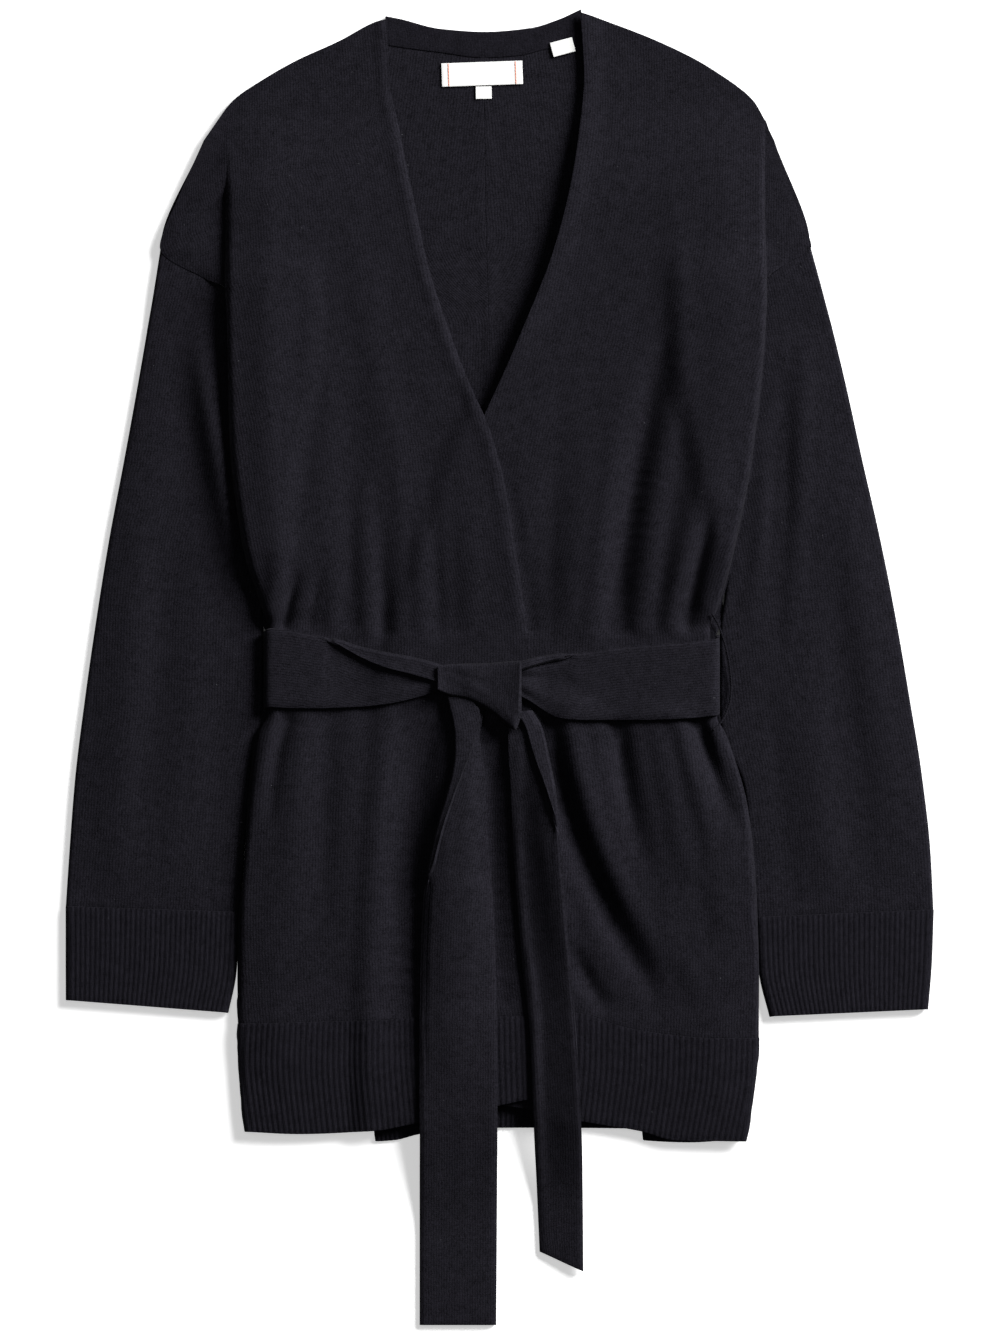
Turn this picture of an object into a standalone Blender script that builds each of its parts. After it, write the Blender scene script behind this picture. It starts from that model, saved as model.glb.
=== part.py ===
"""Wrap cardigan of fine wool jersey, laid flat, tied with its own knitted belt.

The frame is in metres: X runs across the garment, Y from the belt ends up to the neck,
Z up from the surface that it lies on. The origin is under the middle of its outline.
Tables are in millimetres in the same frame. Left and right are the wearer's.
"""
import math

import bmesh
import bpy
import numpy as np
from mathutils import Vector
from mathutils.bvhtree import BVHTree

MM = 0.001

# Cloth thicknesses, and the gap that is left where two pieces meet
JERSEY = 1.6
RIB_CLOTH = 2.0
RIB_HEIGHT = 0.7
BAND_CLOTH = 2.2
BELT_CLOTH = 2.0
LABEL_CLOTH = 1.0
GAP = 0.3

# Belt, and its stretch behind the body, which the back lies over
BELT_WIDTH = 50.0
BELT_MIDDLE_Y = -4.0
BELT_LEFT_X = -156.0
BELT_RIGHT_X = 145.0
BELT_RAMP = 14.0

# How the cloth stands and lies
SLEEVE_MARGIN_TOP = 5.0
SLEEVE_EDGE_HOLLOW = 0.7
SLEEVE_HOLLOW = 2.4
TUBE_BULGE = 0.5
FLAT_SLACK = 0.04
BELT_SLACK = 0.15
ROLL_WIDTH = 9.0
LAP_SLACK = 0.85
BELT_REACH = 5.0
TAIL_REACH = 8.0

# Ribs counted on the photograph
HEM_RIGHT_RIBS = 53
HEM_LEFT_RIBS = 39
CUFF_RIBS = 33

# Grid cells along the fronts and the sleeves, and columns of each front
FRONT_CELL = 24.0
SLEEVE_CELL = 40.0
FRONT_LEFT_COLUMNS = 22
FRONT_RIGHT_COLUMNS = 18

CHARCOAL = (0.011, 0.010, 0.014)
RIB_CHARCOAL = (0.010, 0.009, 0.013)
BELT_CHARCOAL = (0.012, 0.011, 0.015)
SATIN_WHITE = (0.82, 0.82, 0.80)

# Levels of each panel from the hem up: left end x, y, then right end x, y
FRONT_RIGHT_LEVELS = (
    (-171.5, -235.0, 20.0, -229.7),
    (-173.0, -205.0, 17.5, -205.0),
    (-171.5, -170.5, 12.8, -170.5),
    (-167.5, -130.0, 10.0, -130.0),
    (-165.0, -88.0, 9.0, -88.0),
    (-159.5, -46.0, 10.8, -46.0),
    (-152.0, -30.0, 14.0, -30.0),
    (-152.0, 25.5, 17.0, 25.5),
    (-156.2, 41.0, 15.0, 41.0),
    (-167.5, 77.0, 9.8, 77.0),
    (-174.0, 112.0, 4.3, 112.0),
    (-177.0, 150.0, -5.2, 150.0),
    (-178.0, 200.0, -29.0, 207.0),
    (-180.0, 248.0, -48.0, 263.5),
    (-194.5, 256.5, -56.5, 302.0),
    (-224.5, 277.0, -68.5, 360.5),
    (-211.0, 312.5, -72.5, 383.0),
    (-195.5, 347.5, -74.5, 428.0),
)
FRONT_LEFT_LEVELS = (
    (-79.0, -231.5, 169.5, -244.5),
    (-76.5, -200.0, 169.5, -200.5),
    (-75.0, -165.0, 168.5, -165.0),
    (-73.0, -127.5, 166.5, -127.5),
    (-70.5, -88.0, 161.5, -90.0),
    (-65.5, -46.0, 148.2, -46.0),
    (-64.0, -30.0, 141.5, -30.0),
    (-58.0, 25.5, 142.5, 25.5),
    (-54.0, 41.0, 153.0, 41.0),
    (-42.0, 77.0, 163.0, 77.0),
    (-30.0, 112.0, 168.0, 112.0),
    (-17.0, 150.0, 173.0, 150.0),
    (9.0, 209.0, 175.0, 200.0),
    (35.0, 274.0, 176.0, 254.0),
    (45.0, 311.0, 188.0, 265.5),
    (52.0, 352.0, 205.5, 277.5),
    (55.5, 390.5, 194.0, 308.0),
    (53.0, 432.0, 181.0, 347.5),
)
BACK_RIGHT_LEVELS = (
    (-171.5, -235.0, -5.7, -239.6),
    (-171.5, -170.0, -5.0, -165.0),
    (-165.0, -88.0, -4.5, -80.0),
    (-159.0, -45.0, -4.2, -45.0),
    (-152.0, -30.5, -4.0, -30.5),
    (-152.0, 22.5, -4.2, 22.5),
    (-153.0, 37.0, -4.4, 37.0),
    (-150.0, 70.0, -4.7, 70.0),
    (-141.0, 123.0, -5.3, 125.0),
    (-128.0, 211.0, -7.5, 225.0),
    (-176.0, 249.0, -8.5, 257.0),
    (-223.5, 282.0, -9.5, 293.0),
    (-195.5, 347.5, -11.0, 403.6),
)
BACK_LEFT_LEVELS = (
    (-5.4, -239.6, 169.5, -244.5),
    (-4.7, -165.0, 168.0, -170.0),
    (-4.2, -80.0, 161.0, -88.0),
    (-3.9, -45.0, 148.0, -45.0),
    (-3.7, -30.5, 141.5, -30.5),
    (-3.9, 22.5, 141.5, 22.5),
    (-4.1, 37.0, 146.0, 37.0),
    (-4.4, 70.0, 147.0, 70.0),
    (-5.0, 125.0, 137.0, 123.0),
    (-7.2, 225.0, 121.0, 210.0),
    (-8.2, 257.0, 163.0, 248.5),
    (-9.2, 293.0, 204.5, 282.0),
    (-10.7, 403.6, 181.0, 347.5),
)
# The sleeves' outer and inner edges, from the cuff up to the armhole
SLEEVE_RIGHT_LEVELS = (
    (-286.5, -158.0, -172.0, -161.5),
    (-284.5, -127.5, -169.4, -127.5),
    (-280.5, -75.0, -165.4, -77.5),
    (-274.0, -22.0, -157.4, -26.0),
    (-266.5, 30.5, -157.6, 26.0),
    (-258.0, 83.5, -153.0, 75.0),
    (-248.0, 136.5, -144.0, 125.0),
    (-238.5, 189.0, -136.0, 169.5),
    (-229.5, 242.0, -132.0, 195.0),
    (-224.2, 275.5, -131.0, 211.0),
)
SLEEVE_LEFT_LEVELS = (
    (169.3, -165.0, 286.0, -160.2),
    (166.0, -127.5, 284.0, -121.0),
    (161.4, -81.5, 278.0, -68.5),
    (146.4, -35.5, 270.5, -22.0),
    (146.4, 20.0, 261.5, 30.5),
    (150.5, 72.0, 251.0, 83.5),
    (140.0, 123.0, 239.0, 136.5),
    (130.5, 168.0, 227.5, 189.0),
    (125.5, 194.0, 214.5, 242.0),
    (124.0, 210.5, 205.2, 276.5),
)
CUFF_RIGHT_LEVELS = ((-286.5, -220.0, -179.5, -228.0), (-286.6, -189.0, -174.0, -200.0),
                     (-286.6, -158.6, -172.0, -162.3))
CUFF_LEFT_LEVELS = ((178.0, -230.5, 282.5, -226.0), (171.0, -200.0, 285.0, -195.0),
                    (169.4, -165.6, 286.2, -160.8))
HEM_RIGHT_LEVELS = ((-167.5, -306.5, 22.0, -284.0), (-173.0, -259.5, 21.0, -250.0),
                    (-171.6, -235.3, 20.0, -230.0))
HEM_LEFT_LEVELS = ((-78.0, -286.0, 161.5, -313.0), (-79.0, -255.0, 168.8, -270.0),
                   (-79.0, -231.9, 169.5, -244.8))
HEM_BACK_LEVELS = ((-167.0, -303.0, 161.0, -311.5), (-172.0, -259.5, 168.0, -270.0),
                   (-171.6, -235.3, 169.5, -244.8))
NECKBAND_LEVELS = ((-73.5, 412.0, 52.8, 412.6), (-73.6, 421.0, 52.0, 423.0),
                   (-73.6, 429.5, 51.6, 433.5))

# Curved ends of the panels: fraction across, x, y
SHOULDER_RIGHT = ((0.0, -195.5, 347.5), (0.15, -176.0, 374.0), (0.30, -157.5, 387.0),
                  (0.50, -134.0, 400.5), (0.73, -105.5, 413.5), (0.92, -83.0, 425.5),
                  (1.0, -74.5, 428.0))
SHOULDER_LEFT = ((0.0, 53.0, 432.0), (0.10, 65.0, 428.0), (0.25, 87.0, 420.0),
                 (0.38, 103.0, 413.5), (0.59, 130.0, 400.5), (0.75, 151.0, 387.0),
                 (0.88, 167.0, 374.0), (1.0, 181.0, 347.5))
BACK_SHOULDER_RIGHT = ((0.0, -195.5, 347.5), (0.125, -176.0, 374.0), (0.25, -134.0, 400.5),
                       (0.375, -105.5, 413.5), (0.50, -74.6, 428.5), (0.625, -74.3, 411.5),
                       (0.75, -57.0, 409.0), (0.875, -36.0, 406.4), (1.0, -11.0, 403.6))
BACK_SHOULDER_LEFT = ((0.0, -10.7, 403.6), (0.125, 12.0, 404.6), (0.25, 31.5, 409.3),
                      (0.375, 53.4, 411.8), (0.50, 52.6, 432.5), (0.625, 87.0, 420.0),
                      (0.75, 130.0, 400.5), (0.875, 167.0, 374.0), (1.0, 181.0, 347.5))
ARMHOLE_RIGHT = ((0.0, -224.2, 275.5), (0.08, -217.5, 270.0), (0.33, -193.5, 255.4),
                 (0.45, -181.5, 247.0), (0.7, -158.5, 230.0), (1.0, -131.0, 211.0))
ARMHOLE_LEFT = ((0.0, 124.0, 210.5), (0.34, 152.0, 233.0), (0.62, 175.0, 253.0),
                (0.8, 188.0, 264.5), (1.0, 205.2, 276.5))
RIB_LINE_RIGHT = ((0.0, -171.6, -235.3), (0.31, -112.0, -233.8), (0.61, -55.0, -231.8),
                  (1.0, 20.0, -230.0))
RIB_LINE_LEFT = ((0.0, -79.0, -231.9), (0.27, -13.0, -228.5), (0.42, 24.0, -226.5),
                 (0.53, 53.0, -228.5), (0.6, 70.5, -234.2), (0.66, 86.0, -238.5),
                 (0.76, 110.0, -242.3),
                 (0.88, 140.5, -244.8), (1.0, 169.5, -244.8))
HEM_EDGE_RIGHT = ((0.0, -167.5, -306.5), (0.19, -132.0, -308.0), (0.43, -86.0, -306.0),
                  (0.60, -53.0, -300.0), (0.88, -1.5, -289.0), (1.0, 22.0, -284.0))
HEM_EDGE_LEFT = ((0.0, -78.0, -286.0), (0.32, -0.5, -289.0), (0.55, 54.0, -299.5),
                 (0.72, 94.5, -306.5), (0.81, 115.5, -312.0), (1.0, 161.5, -313.0))
HEM_EDGE_BACK = ((0.0, -167.0, -303.0), (0.25, -83.5, -303.5), (0.253, -82.5, -313.3),
                 (0.30, -69.5, -312.5), (0.35, -53.0, -308.5), (0.45, -20.0, -304.5),
                 (0.58, 22.0, -304.3), (0.79, 93.5, -305.0), (0.793, 94.5, -312.6),
                 (0.89, 125.5, -314.0), (1.0, 161.0, -311.5))
NECKLINE = ((0.0, -73.6, 429.5), (0.07, -66.0, 428.0), (0.27, -39.5, 421.5),
            (0.50, -10.0, 419.5), (0.73, 20.0, 422.0), (0.89, 39.5, 428.0),
            (1.0, 51.6, 433.5))
BAND_SEAM = ((0.0, -73.5, 412.5), (0.13, -57.0, 410.0), (0.27, -39.5, 407.8),
             (0.5, -11.0, 404.4), (0.71, 13.0, 405.8), (0.84, 31.5, 410.3),
             (1.0, 52.8, 412.8))

# Sides of the fronts: y, x where the cloth rolls over at the wearer's right and left,
# then how high each side stands
SIDES = (
    (-310.0, -168.0, 162.5, 2.0, 2.0),
    (-235.0, -172.0, 170.0, 3.5, 3.5),
    (-170.0, -171.5, 168.5, 5.5, 5.0),
    (-88.0, -165.0, 161.5, 6.5, 6.0),
    (-46.0, -159.5, 148.2, 6.0, 5.5),
    (-30.0, -152.0, 141.5, 4.5, 4.5),
    (25.5, -152.0, 137.5, 4.5, 4.5),
    (41.0, -156.2, 143.0, 6.5, 6.5),
    (77.0, -167.5, 153.0, 9.0, 9.0),
    (150.0, -177.0, 166.5, 10.0, 9.0),
    (250.0, -180.0, 174.5, 9.5, 8.0),
    (308.0, -180.0, 173.5, 7.0, 6.0),
    (345.0, -183.0, 174.0, 2.0, 2.0),
    (365.0, -186.0, 175.0, 0.0, 0.0),
)
# The underlapping front's hidden free edge: y, x
UNDERLAP_EDGE = ((-290.0, -79.0), (-230.0, -79.0), (-88.0, -70.5), (25.0, -58.0),
                 (77.0, -42.0), (112.0, -30.0), (150.0, -17.0), (175.0, -5.5))
# The underlapping front's rolled neck edge: y, x
NECK_EDGE_LEFT = ((150.0, -17.0), (175.0, -7.5), (209.0, 9.0), (254.0, 27.5),
                  (311.0, 45.0), (364.0, 53.5), (400.0, 55.5), (432.0, 53.0))

# Largest folds of the fronts: three points of the fold, half width, height, and where
# along it the fold is strongest; a negative height is a trough
FOLDS = (
    # below the belt, on the left
    (29.0, -30.0, 44.0, -110.0, 101.0, -217.0, 7.0, -7.0, 0.35),
    (42.0, -40.0, 62.0, -110.0, 112.0, -200.0, 8.0, 4.5, 0.3),
    (75.0, -36.0, 82.0, -80.0, 96.0, -140.0, 7.0, -3.0, 0.2),
    (104.0, -38.0, 112.0, -90.0, 130.0, -170.0, 9.0, 2.5, 0.3),
    (130.0, -36.0, 141.0, -64.0, 155.0, -112.0, 5.5, -6.5, 0.25),
    (118.0, -38.0, 128.0, -75.0, 146.0, -140.0, 6.0, 3.0, 0.2),
    (47.0, -187.0, 58.0, -208.0, 74.0, -232.0, 6.0, -3.5, 0.4),
    # above the belt, on the left
    (76.0, 30.0, 88.0, 140.0, 114.0, 236.0, 9.0, -5.0, 0.3),
    (92.0, 30.0, 100.0, 130.0, 128.0, 220.0, 10.0, 3.5, 0.3),
    (123.0, 30.0, 132.0, 68.0, 143.0, 112.0, 5.5, -6.0, 0.2),
    (112.0, 30.0, 122.0, 80.0, 140.0, 150.0, 7.0, 3.0, 0.2),
    (45.0, 32.0, 52.0, 90.0, 60.0, 170.0, 10.0, 2.0, 0.3),
    # above the belt, on the right
    (-142.5, 28.0, -139.0, 44.0, -132.0, 66.0, 4.0, -4.5, 0.2),
    (-150.0, 36.0, -146.0, 60.0, -140.0, 90.0, 6.0, 3.0, 0.3),
    (-77.0, 24.0, -78.0, 50.0, -80.0, 100.0, 6.0, -2.2, 0.2),
    (-86.0, 24.0, -86.0, 60.0, -90.0, 130.0, 7.0, 2.2, 0.2),
    (-40.0, 24.0, -41.0, 60.0, -46.0, 120.0, 6.0, -1.8, 0.2),
    (-60.0, 60.0, -72.0, 160.0, -100.0, 300.0, 12.0, 1.6, 0.5),
    # below the belt, on the right, beside the hanging belt end
    (-42.0, -34.0, -60.0, -110.0, -58.0, -280.0, 14.0, -3.5, 0.35),
    (-80.0, -40.0, -88.0, -120.0, -92.0, -250.0, 16.0, 2.0, 0.4),
    (-140.0, -36.0, -150.0, -60.0, -152.0, -110.0, 5.0, -3.0, 0.2),
)

# Belt stretches: x, upper edge y, lower edge y, width of the turned-over upper edge
BELT_RIGHT_STATIONS = (
    (-38.5, 0.5, -14.5, 11.5),
    (-45.0, 2.5, -17.0, 11.0),
    (-57.0, 5.5, -20.5, 10.5),
    (-73.0, 8.5, -24.0, 9.5),
    (-90.0, 12.0, -26.0, 6.5),
    (-107.0, 17.5, -26.7, 3.0),
    (-120.0, 20.8, -26.9, 0.0),
    (-136.0, 23.8, -26.8, 0.0),
    (-150.0, 25.2, -26.2, 0.0),
)
BELT_LEFT_STATIONS = (
    (11.5, 1.3, -18.0, 4.5),
    (15.5, 3.2, -20.2, 4.4),
    (20.0, 4.6, -22.5, 4.2),
    (29.0, 6.5, -28.5, 3.6),
    (40.0, 8.0, -33.5, 2.6),
    (56.0, 9.8, -34.6, 0.0),
    (78.0, 12.8, -34.6, 0.0),
    (103.0, 15.0, -34.4, 0.0),
    (124.0, 16.5, -33.6, 0.0),
    (139.0, 18.0, -32.0, 0.0),
)
# Hanging belt ends: y, folded edge x, other edge x, width of the turned-over strip
TAIL_FRONT_STATIONS = (
    (-19.5, -34.5, -14.0, 12.0),
    (-28.0, -32.5, -11.0, 19.0),
    (-36.5, -30.5, -12.0, 17.5),
    (-45.0, -29.3, -13.6, 13.5),
    (-56.0, -29.2, -12.0, 10.0),
    (-68.0, -30.5, -10.5, 6.5),
    (-84.0, -34.5, -9.6, 4.5),
    (-104.0, -40.5, -8.8, 3.8),
    (-128.0, -46.0, -6.8, 3.2),
    (-150.0, -50.0, -5.3, 0.0),
    (-194.0, -52.0, -3.3, 0.0),
    (-240.0, -52.6, -2.2, 0.0),
    (-284.0, -52.8, -2.0, 0.0),
    (-292.0, -52.8, -2.0, 0.0),
    (-300.0, -52.8, -2.0, 0.0),
    (-308.0, -52.8, -2.0, 0.0),
    (-317.0, -52.8, -2.0, 0.0),
    (-330.0, -52.9, -2.1, 0.0),
    (-380.0, -53.0, -2.4, 0.0),
    (-434.5, -53.0, -2.8, 0.0),
)
TAIL_BACK_STATIONS = (
    (-29.0, 20.5, 5.5, 10.0),
    (-40.0, 27.0, 5.5, 10.0),
    (-59.5, 31.5, 6.0, 8.5),
    (-80.0, 35.5, 7.5, 6.5),
    (-98.0, 37.6, 8.2, 4.5),
    (-122.0, 40.0, 9.3, 3.4),
    (-146.0, 42.0, 10.7, 0.0),
    (-192.0, 46.0, 14.5, 0.0),
    (-240.0, 49.8, 20.0, 0.0),
    (-284.0, 52.6, 21.8, 0.0),
    (-292.0, 53.0, 22.1, 0.0),
    (-300.0, 53.4, 22.5, 0.0),
    (-308.0, 53.7, 22.9, 0.0),
    (-317.0, 54.0, 23.3, 0.0),
    (-330.0, 54.3, 24.0, 0.0),
    (-386.0, 55.0, 26.5, 0.0),
)
TAIL_BACK_SLANT = 13.0

# Outline of the knot: lower and upper edge at each x
KNOT_STATIONS = (
    (-41.5, -15.0, 0.5),
    (-34.0, -18.5, 1.8),
    (-23.0, -21.5, 2.4),
    (-10.0, -27.5, 2.6),
    (3.0, -37.0, 3.6),
    (10.0, -41.5, 4.1),
    (14.3, -32.0, 4.0),
)
KNOT_RIM = 2.0
KNOT_CROWN = 5.0

# The thread loop at the wearer's left side: x, y, z; its ends are laid on the front
LOOP_ROUTE = (
    (139.5, 35.0, 9.0),
    (143.5, 28.5, 9.5),
    (147.5, 17.5, 8.5),
    (151.0, 3.0, 7.0),
    (152.5, -12.0, 6.5),
    (151.8, -22.0, 6.5),
    (149.3, -29.5, 7.5),
    (145.5, -36.5, 9.0),
    (140.5, -41.5, 9.0),
)
LOOP_RADIUS = 0.9

# Labels on the inside of the back: centre x, y, width, height, turn in degrees
NECK_LABEL = (-11.8, 391.7, 53.5, 15.5, 2.0)
SIZE_TAB = (-10.8, 379.2, 10.5, 8.2, 1.0)
CARE_LABEL = (41.4, 409.2, 15.0, 9.6, 15.0)


def smooth(knots, values, at):
    """Follows a few measured values with a curve that never overshoots them."""
    knots = np.asarray(knots, float)
    values = np.asarray(values, float)
    step = np.diff(knots)
    slope = np.diff(values) / step
    tangent = np.zeros_like(values)
    tangent[0], tangent[-1] = slope[0], slope[-1]
    both = slope[:-1] * slope[1:]
    rising = both > 0
    harmonic = 2.0 * both[rising] / (slope[:-1] + slope[1:])[rising]
    tangent[1:-1][rising] = harmonic
    at = np.clip(np.asarray(at, float), knots[0], knots[-1])
    span = np.clip(np.searchsorted(knots, at, side="right") - 1, 0, len(step) - 1)
    h = step[span]
    t = (at - knots[span]) / h
    start, end = values[span], values[span + 1]
    start_pull, end_pull = tangent[span] * h, tangent[span + 1] * h
    return (start * (2 * t**3 - 3 * t**2 + 1) + start_pull * (t**3 - 2 * t**2 + t)
            + end * (3 * t**2 - 2 * t**3) + end_pull * (t**3 - t**2))


def column(table, index):
    """One named column of a table."""
    return [row[index] for row in table]


def rise(low, high, x):
    """Goes smoothly from 0 at low to 1 at high."""
    t = np.clip((np.asarray(x, float) - low) / (high - low), 0.0, 1.0)
    return t * t * (3.0 - 2.0 * t)


def spread(points, cell):
    """Grid lines through every knot, with cells of about the given size between."""
    lines = [0.0]
    for number, (a, b) in enumerate(zip(points, points[1:])):
        length = math.dist(a, b)
        cells = max(1, round(length / cell))
        lines += [number + (k + 1) / cells for k in range(cells)]
    return np.array(lines)


def patch(levels, across, along, top=None, bottom=None):
    """Plan of a panel: straight levels between its side edges, with curved ends."""
    number = np.arange(len(levels))
    last = len(levels) - 1
    edge = [smooth(number, column(levels, k), along)[:, None] for k in range(4)]
    u = np.asarray(across)[None, :]
    v = np.asarray(along)[:, None]
    x = edge[0] * (1 - u) + edge[2] * u
    y = edge[1] * (1 - u) + edge[3] * u
    depth = min(2.0, last)
    ends = ((top, rise(last - depth, last, v), -1), (bottom, 1 - rise(0, depth, v), 0))
    for table, weight, end in ends:
        if table is None:
            continue
        curve_x = smooth(column(table, 0), column(table, 1), u)
        curve_y = smooth(column(table, 0), column(table, 2), u)
        chord_x = levels[end][0] * (1 - u) + levels[end][2] * u
        chord_y = levels[end][1] * (1 - u) + levels[end][3] * u
        x = x + weight * (curve_x - chord_x)
        y = y + weight * (curve_y - chord_y)
    return x, y


def side_edge_lines(count):
    """Columns of a front, closer together where the side rolls over."""
    return np.concatenate([[0.0, 0.018, 0.042], np.linspace(0.085, 1.0, count - 2)])


def belt_lift(y):
    """The back rises over the belt's stretch behind it."""
    low = BELT_MIDDLE_Y - BELT_WIDTH / 2 - 1.5
    high = BELT_MIDDLE_Y + BELT_WIDTH / 2 + 1.5
    on_belt = rise(low - BELT_RAMP, low, y) - rise(high, high + BELT_RAMP, y)
    return (BAND_CLOTH + GAP) * on_belt


def rib_share(y):
    """Goes from 0 in the jersey to 1 in the hem's rib."""
    return 1 - rise(-236.0, -220.0, y)


def fold_line(y, side):
    """Where the cloth rolls over at the wearer's right (0) or left (1) side."""
    return smooth(column(SIDES, 0), column(SIDES, 1 + side), y)


def sleeve_edge(y, side):
    """Inner edge of a sleeve, which runs under the fronts."""
    levels = SLEEVE_LEFT_LEVELS if side else SLEEVE_RIGHT_LEVELS
    first = 0 if side else 2
    return smooth(column(levels, first + 1), column(levels, first), y)


def bed(x, y):
    """What the fronts lie on: the back, and the sleeves' inner margins."""
    back_top = belt_lift(y) + JERSEY + (RIB_CLOTH - JERSEY) * rib_share(y)
    height = back_top + GAP
    for side, sign in ((0, 1.0), (1, -1.0)):
        past_sleeve = sign * (x - sleeve_edge(y, side))
        past_fold = sign * (x - fold_line(y, side))
        over = (1 - rise(2.0, 18.0, past_sleeve)) * rise(24.0, 40.0, y)
        over = over * (1 - rise(252.0, 284.0, y))
        over = over * np.where(y < 248.0, 1.0, rise(-16.0, -2.0, past_fold))
        height = np.maximum(height, height + over * (SLEEVE_MARGIN_TOP - height))
    return height


def fold_relief(x, y):
    """Sum of the large folds at a point."""
    total = np.zeros(np.broadcast(x, y).shape)
    t = np.linspace(0.0, 1.0, 25)
    for x0, y0, x1, y1, x2, y2, width, height, peak in FOLDS:
        fold_x = x0 * (1 - t)**2 + 2 * x1 * t * (1 - t) + x2 * t**2
        fold_y = y0 * (1 - t)**2 + 2 * y1 * t * (1 - t) + y2 * t**2
        away = np.hypot(x[..., None] - fold_x, y[..., None] - fold_y)
        nearest = away.argmin(axis=-1)
        reach = max(peak, 1 - peak)
        strength = 1 - ((t[nearest] - peak) / reach)**2
        total += height * strength * np.exp(-(away.min(axis=-1) / width)**2)
    return total


def loft(x, y):
    """How far the fronts stand off their bed: full sides, soft middle, and folds."""
    held = rise(-46.0, -31.0, y) - rise(25.0, 41.0, y)
    side_height = np.zeros(np.broadcast(x, y).shape)
    for side, sign in ((0, 1.0), (1, -1.0)):
        past = sign * (x - fold_line(y, side))
        tall = smooth(column(SIDES, 0), column(SIDES, 3 + side), y)
        fade = 0.28 + 0.72 * np.exp(-(np.maximum(past - ROLL_WIDTH, 0.0) / 55.0)**2)
        side_height += tall * rise(0.0, ROLL_WIDTH, past) * fade
    hem = rise(-320.0, -250.0, y)
    inside = np.minimum(x - fold_line(y, 0), fold_line(y, 1) - x)
    puff = 2.2 * hem * (1 - rise(330.0, 400.0, y)) * rise(0.0, 30.0, inside)
    neck_edge = smooth(column(NECK_EDGE_LEFT, 0), column(NECK_EDGE_LEFT, 1), y)
    rolled = 3.0 * np.exp(-((x - neck_edge) / 11.0)**2) * rise(178.0, 215.0, y)
    rolled = rolled * (x > neck_edge - 4.0)
    standing = side_height * (1 - 0.35 * held)
    standing = standing + (puff + rolled + fold_relief(x, y)) * (1 - 0.93 * held)
    return 0.5 * (standing + np.sqrt(standing**2 + 0.6))


def underlap(x, y):
    """Inner face of the underlapping front, and of the other where it lies alone."""
    return bed(x, y) + loft(x, y)


def overlap(x, y):
    """Inner face of the overlapping front, which steps up onto the other."""
    hidden = smooth(column(UNDERLAP_EDGE, 0), column(UNDERLAP_EDGE, 1), y)
    covered = rise(-22.0, -6.0, x - hidden) * (1 - rise(177.0, 196.0, y))
    across = (underlap(x + 1.0, y) - underlap(x - 1.0, y)) / 2.0
    along = (underlap(x, y + 1.0) - underlap(x, y - 1.0)) / 2.0
    slant = np.sqrt(1.0 + across**2 + along**2)
    wall = JERSEY + (RIB_CLOTH - JERSEY) * rib_share(y)
    return underlap(x, y) + covered * (wall + GAP + LAP_SLACK) * slant


def trees_of(names):
    """Search trees of the pieces that the next one is laid on."""
    graph = bpy.context.evaluated_depsgraph_get()
    return [BVHTree.FromObject(bpy.data.objects[name], graph) for name in names]


def laid_on(trees, x, y, reach):
    """Height of what lies below each point, the highest within a reach of it."""
    turns = [(0.0, 0.0)]
    for away, count in ((reach / 2, 6), (reach, 10)):
        turns += [(away * math.cos(2 * math.pi * k / count),
                   away * math.sin(2 * math.pi * k / count)) for k in range(count)]
    height = np.full(x.shape, -BELT_SLACK)
    down = Vector((0.0, 0.0, -1.0))
    for place in np.ndindex(x.shape):
        for dx, dy in turns:
            start = Vector(((x[place] + dx) * MM, (y[place] + dy) * MM, 1.0))
            for tree in trees:
                hit = tree.ray_cast(start, down)[0]
                if hit is not None:
                    height[place] = max(height[place], hit.z / MM + GAP)
    return height


def material(name, colour, roughness):
    """Plain cloth finish of one piece."""
    finish = bpy.data.materials.new(name)
    finish.use_nodes = True
    shader = finish.node_tree.nodes["Principled BSDF"]
    shader.inputs["Base Color"].default_value = (*colour, 1.0)
    shader.inputs["Roughness"].default_value = roughness
    shader.inputs["Metallic"].default_value = 0.0
    finish.diffuse_color = (*colour, 1.0)
    return finish


def place_piece(data, name, colour, roughness=0.95):
    """Makes a named object in the garment's collection, with its own finish."""
    piece = bpy.data.objects.new(name, data)
    bpy.data.collections["wrap_cardigan"].objects.link(piece)
    data.materials.append(material(name + "_finish", colour, roughness))
    return piece


def cloth(name, x, y, z, thickness, colour, share=None, tube=False, strip=False):
    """A grid laid on given points and thickened into a wall.

    Share is each point's part of the full thickness, for ribs and for the knot's dome.
    """
    rows, columns = np.broadcast(x, y, z).shape
    x, y, z = (np.broadcast_to(a, (rows, columns)) for a in (x, y, z))
    share = np.broadcast_to(1.0 if share is None else share, (rows, columns))
    grid = bmesh.new()
    bmesh.ops.create_grid(grid, x_segments=columns - 1, y_segments=rows - 1, size=0.5)
    weight = grid.verts.layers.deform.verify()
    for vert in grid.verts:
        i = round((vert.co.x + 0.5) * (columns - 1))
        j = round((vert.co.y + 0.5) * (rows - 1))
        vert.co = (x[j, i] * MM, y[j, i] * MM, z[j, i] * MM)
        vert[weight][0] = float(share[j, i])
    if tube:
        bmesh.ops.remove_doubles(grid, verts=grid.verts, dist=1e-6)
    mesh = bpy.data.meshes.new(name)
    grid.to_mesh(mesh)
    grid.free()
    mesh.shade_smooth()
    piece = place_piece(mesh, name, colour)
    piece.vertex_groups.new(name="thickness")
    wall = piece.modifiers.new("wall", "SOLIDIFY")
    wall.thickness = thickness * MM
    wall.offset = 0.0 if strip else 1.0
    wall.use_even_offset = not strip
    wall.vertex_group = "thickness"
    return piece


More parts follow.
